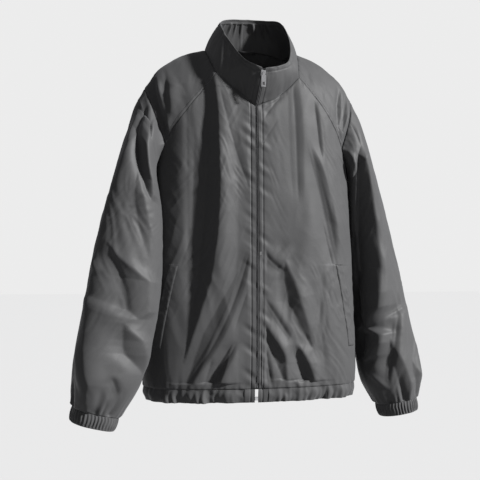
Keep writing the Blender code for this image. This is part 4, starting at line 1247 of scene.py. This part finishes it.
def add_loop(seam):
    """Hanger loop: a narrow folded tape across the back of the neck, inside the collar."""
    middle = seam[len(seam) // 2]
    share = np.linspace(-1.0, 1.0, 60)
    bow = 1 - share**2
    path = np.column_stack([middle[0] + share * LOOP_WIDTH / 2, middle[1] - LOOP_BASE - LOOP_REACH * bow,
                            middle[2] - LOOP_DROP * bow])
    turns = np.linspace(0.0, 2 * math.pi, 16, endpoint=False)
    ring = np.column_stack([0 * turns, LOOP_TAPE[0] * np.cos(turns), LOOP_TAPE[1] * np.sin(turns)])
    grid = path[None, :, :] + ring[:, None, :]
    add_cloth("hanger_loop", grid, grid.mean(axis=(0, 1)), "hung", CUTS["hanger_loop"], ("back",), LOOP_AREA,
              closed=True)


# ---------------- zip

def add_zip(side, points, across, outward):
    """One side of the zip: its tape behind the front's edge and its row of teeth."""
    cut = CUTS["zip_tape"]
    grid = np.array([points + across * away - outward * (1.6 * PLY)
                     for away in np.linspace(-TAPE_INSIDE, TAPE_WIDTH, 8)])
    add_cloth(HAND[side] + "_zip_tape", grid, BODY_CENTRE, "hung", cut, (HAND[side] + "_front",),
              min(grid_area(grid) * 1.02, cut[0] * cut[1]), material=tape, slot="zip_tape")
    run = run_along(points)
    marks = np.arange(0.012 + (side > 0) * TOOTH_PITCH / 2, run[-1] - 0.006, TOOTH_PITCH)
    place = at_marks(marks, run, points)
    aside = unit(at_marks(marks, run, across))
    out = unit(at_marks(marks, run, outward))
    begin = place - aside * (ZIP_EDGE - 0.0002) - out * TOOTH_DEPTH
    end = place - aside * (ZIP_EDGE - TOOTH_REACH) - out * TOOTH_DEPTH
    teeth = make_mesh(HAND[side] + "_zip_teeth", *bars(begin, end, out, TOOTH_RADIUS, 0.0), tape)
    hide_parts(HAND[side] + "_zip_coil")


# ---------------- build

grids = {side: add_front(side) for side in (-1, 1)}
add_back()
for hand_side in (-1, 1):
    add_shoulder(hand_side)
    add_cuff(hand_side, add_sleeve(hand_side))
    add_welt(hand_side)
neck_line = neck_seam(flat_front, flat_back, flat_shoulder)
collar = add_collar(neck_line)
add_hem()
add_loop(neck_line)

for hand_side in (-1, 1):
    ends = collar if hand_side < 0 else collar[::-1]
    body = grids[hand_side]
    edge_points = np.vstack([body[0], ends[0][1:]])
    beside = np.vstack([unit(body[4] - body[0]), unit(ends[2] - ends[0])[1:]])
    way_out = unit(np.cross(beside, np.gradient(edge_points, axis=0))) * -hand_side
    if way_out[:, 1].mean() > 0:
        way_out = -way_out
    add_zip(hand_side, edge_points, beside, way_out)

stitching = make_mesh("stitching", *joined(threads), thread)

for node, look in (("zip_slider", metal), ("zip_pull", metal), ("zip_retainer", bright_metal)):
    for k in range(len(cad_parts[node].data.materials)):
        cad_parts[node].data.materials[k] = look

# ---------------- floor, light and camera

bpy.ops.mesh.primitive_plane_add(size=FLOOR_SIZE, location=(0.0, 0.0, FLOOR_HEIGHT))
floor = bpy.context.object
floor.name = "floor"
floor.data.materials.append(principled("floor_look", FLOOR_COLOUR, 0.9, specular=0.1)[0])
floor.visible_diffuse = False

world = bpy.data.worlds.new("studio")
bpy.context.scene.world = world
world.use_nodes = True
world_nodes, world_links = world.node_tree.nodes, world.node_tree.links
backdrop = world_nodes["Background"]
backdrop.inputs["Color"].default_value = BACKDROP_COLOUR
fill = add_node(world_nodes, "Background", Color=FILL_COLOUR)
seen = world_nodes.new("ShaderNodeLightPath")
choice = world_nodes.new("ShaderNodeMixShader")
world_links.new(seen.outputs["Is Camera Ray"], choice.inputs[0])
world_links.new(fill.outputs[0], choice.inputs[1])
world_links.new(backdrop.outputs[0], choice.inputs[2])
world_links.new(choice.outputs[0], world_nodes["World Output"].inputs["Surface"])


def add_sun(name, azimuth, elevation, strength, angle):
    """A distant lamp; azimuth is measured from the front towards the wearer's left."""
    light = bpy.data.lights.new(name, "SUN")
    light.energy = strength
    light.angle = math.radians(angle)
    lamp = bpy.data.objects.new(name, light)
    turn, rise = math.radians(azimuth), math.radians(elevation)
    way = Vector((math.sin(turn) * math.cos(rise), -math.cos(turn) * math.cos(rise), math.sin(rise)))
    lamp.rotation_euler = way.to_track_quat("Z", "Y").to_euler()
    bpy.context.scene.collection.objects.link(lamp)


add_sun("key", *KEY_LAMP)

camera_data = bpy.data.cameras.new("camera")
camera_data.lens = LENS
camera_data.sensor_width = SENSOR
camera = bpy.data.objects.new("camera", camera_data)
camera.location = CAMERA_PLACE
camera.rotation_euler = [math.radians(turn) for turn in CAMERA_TURN]
bpy.context.scene.collection.objects.link(camera)
bpy.context.scene.camera = camera
bpy.context.scene.view_settings.view_transform = "Standard"
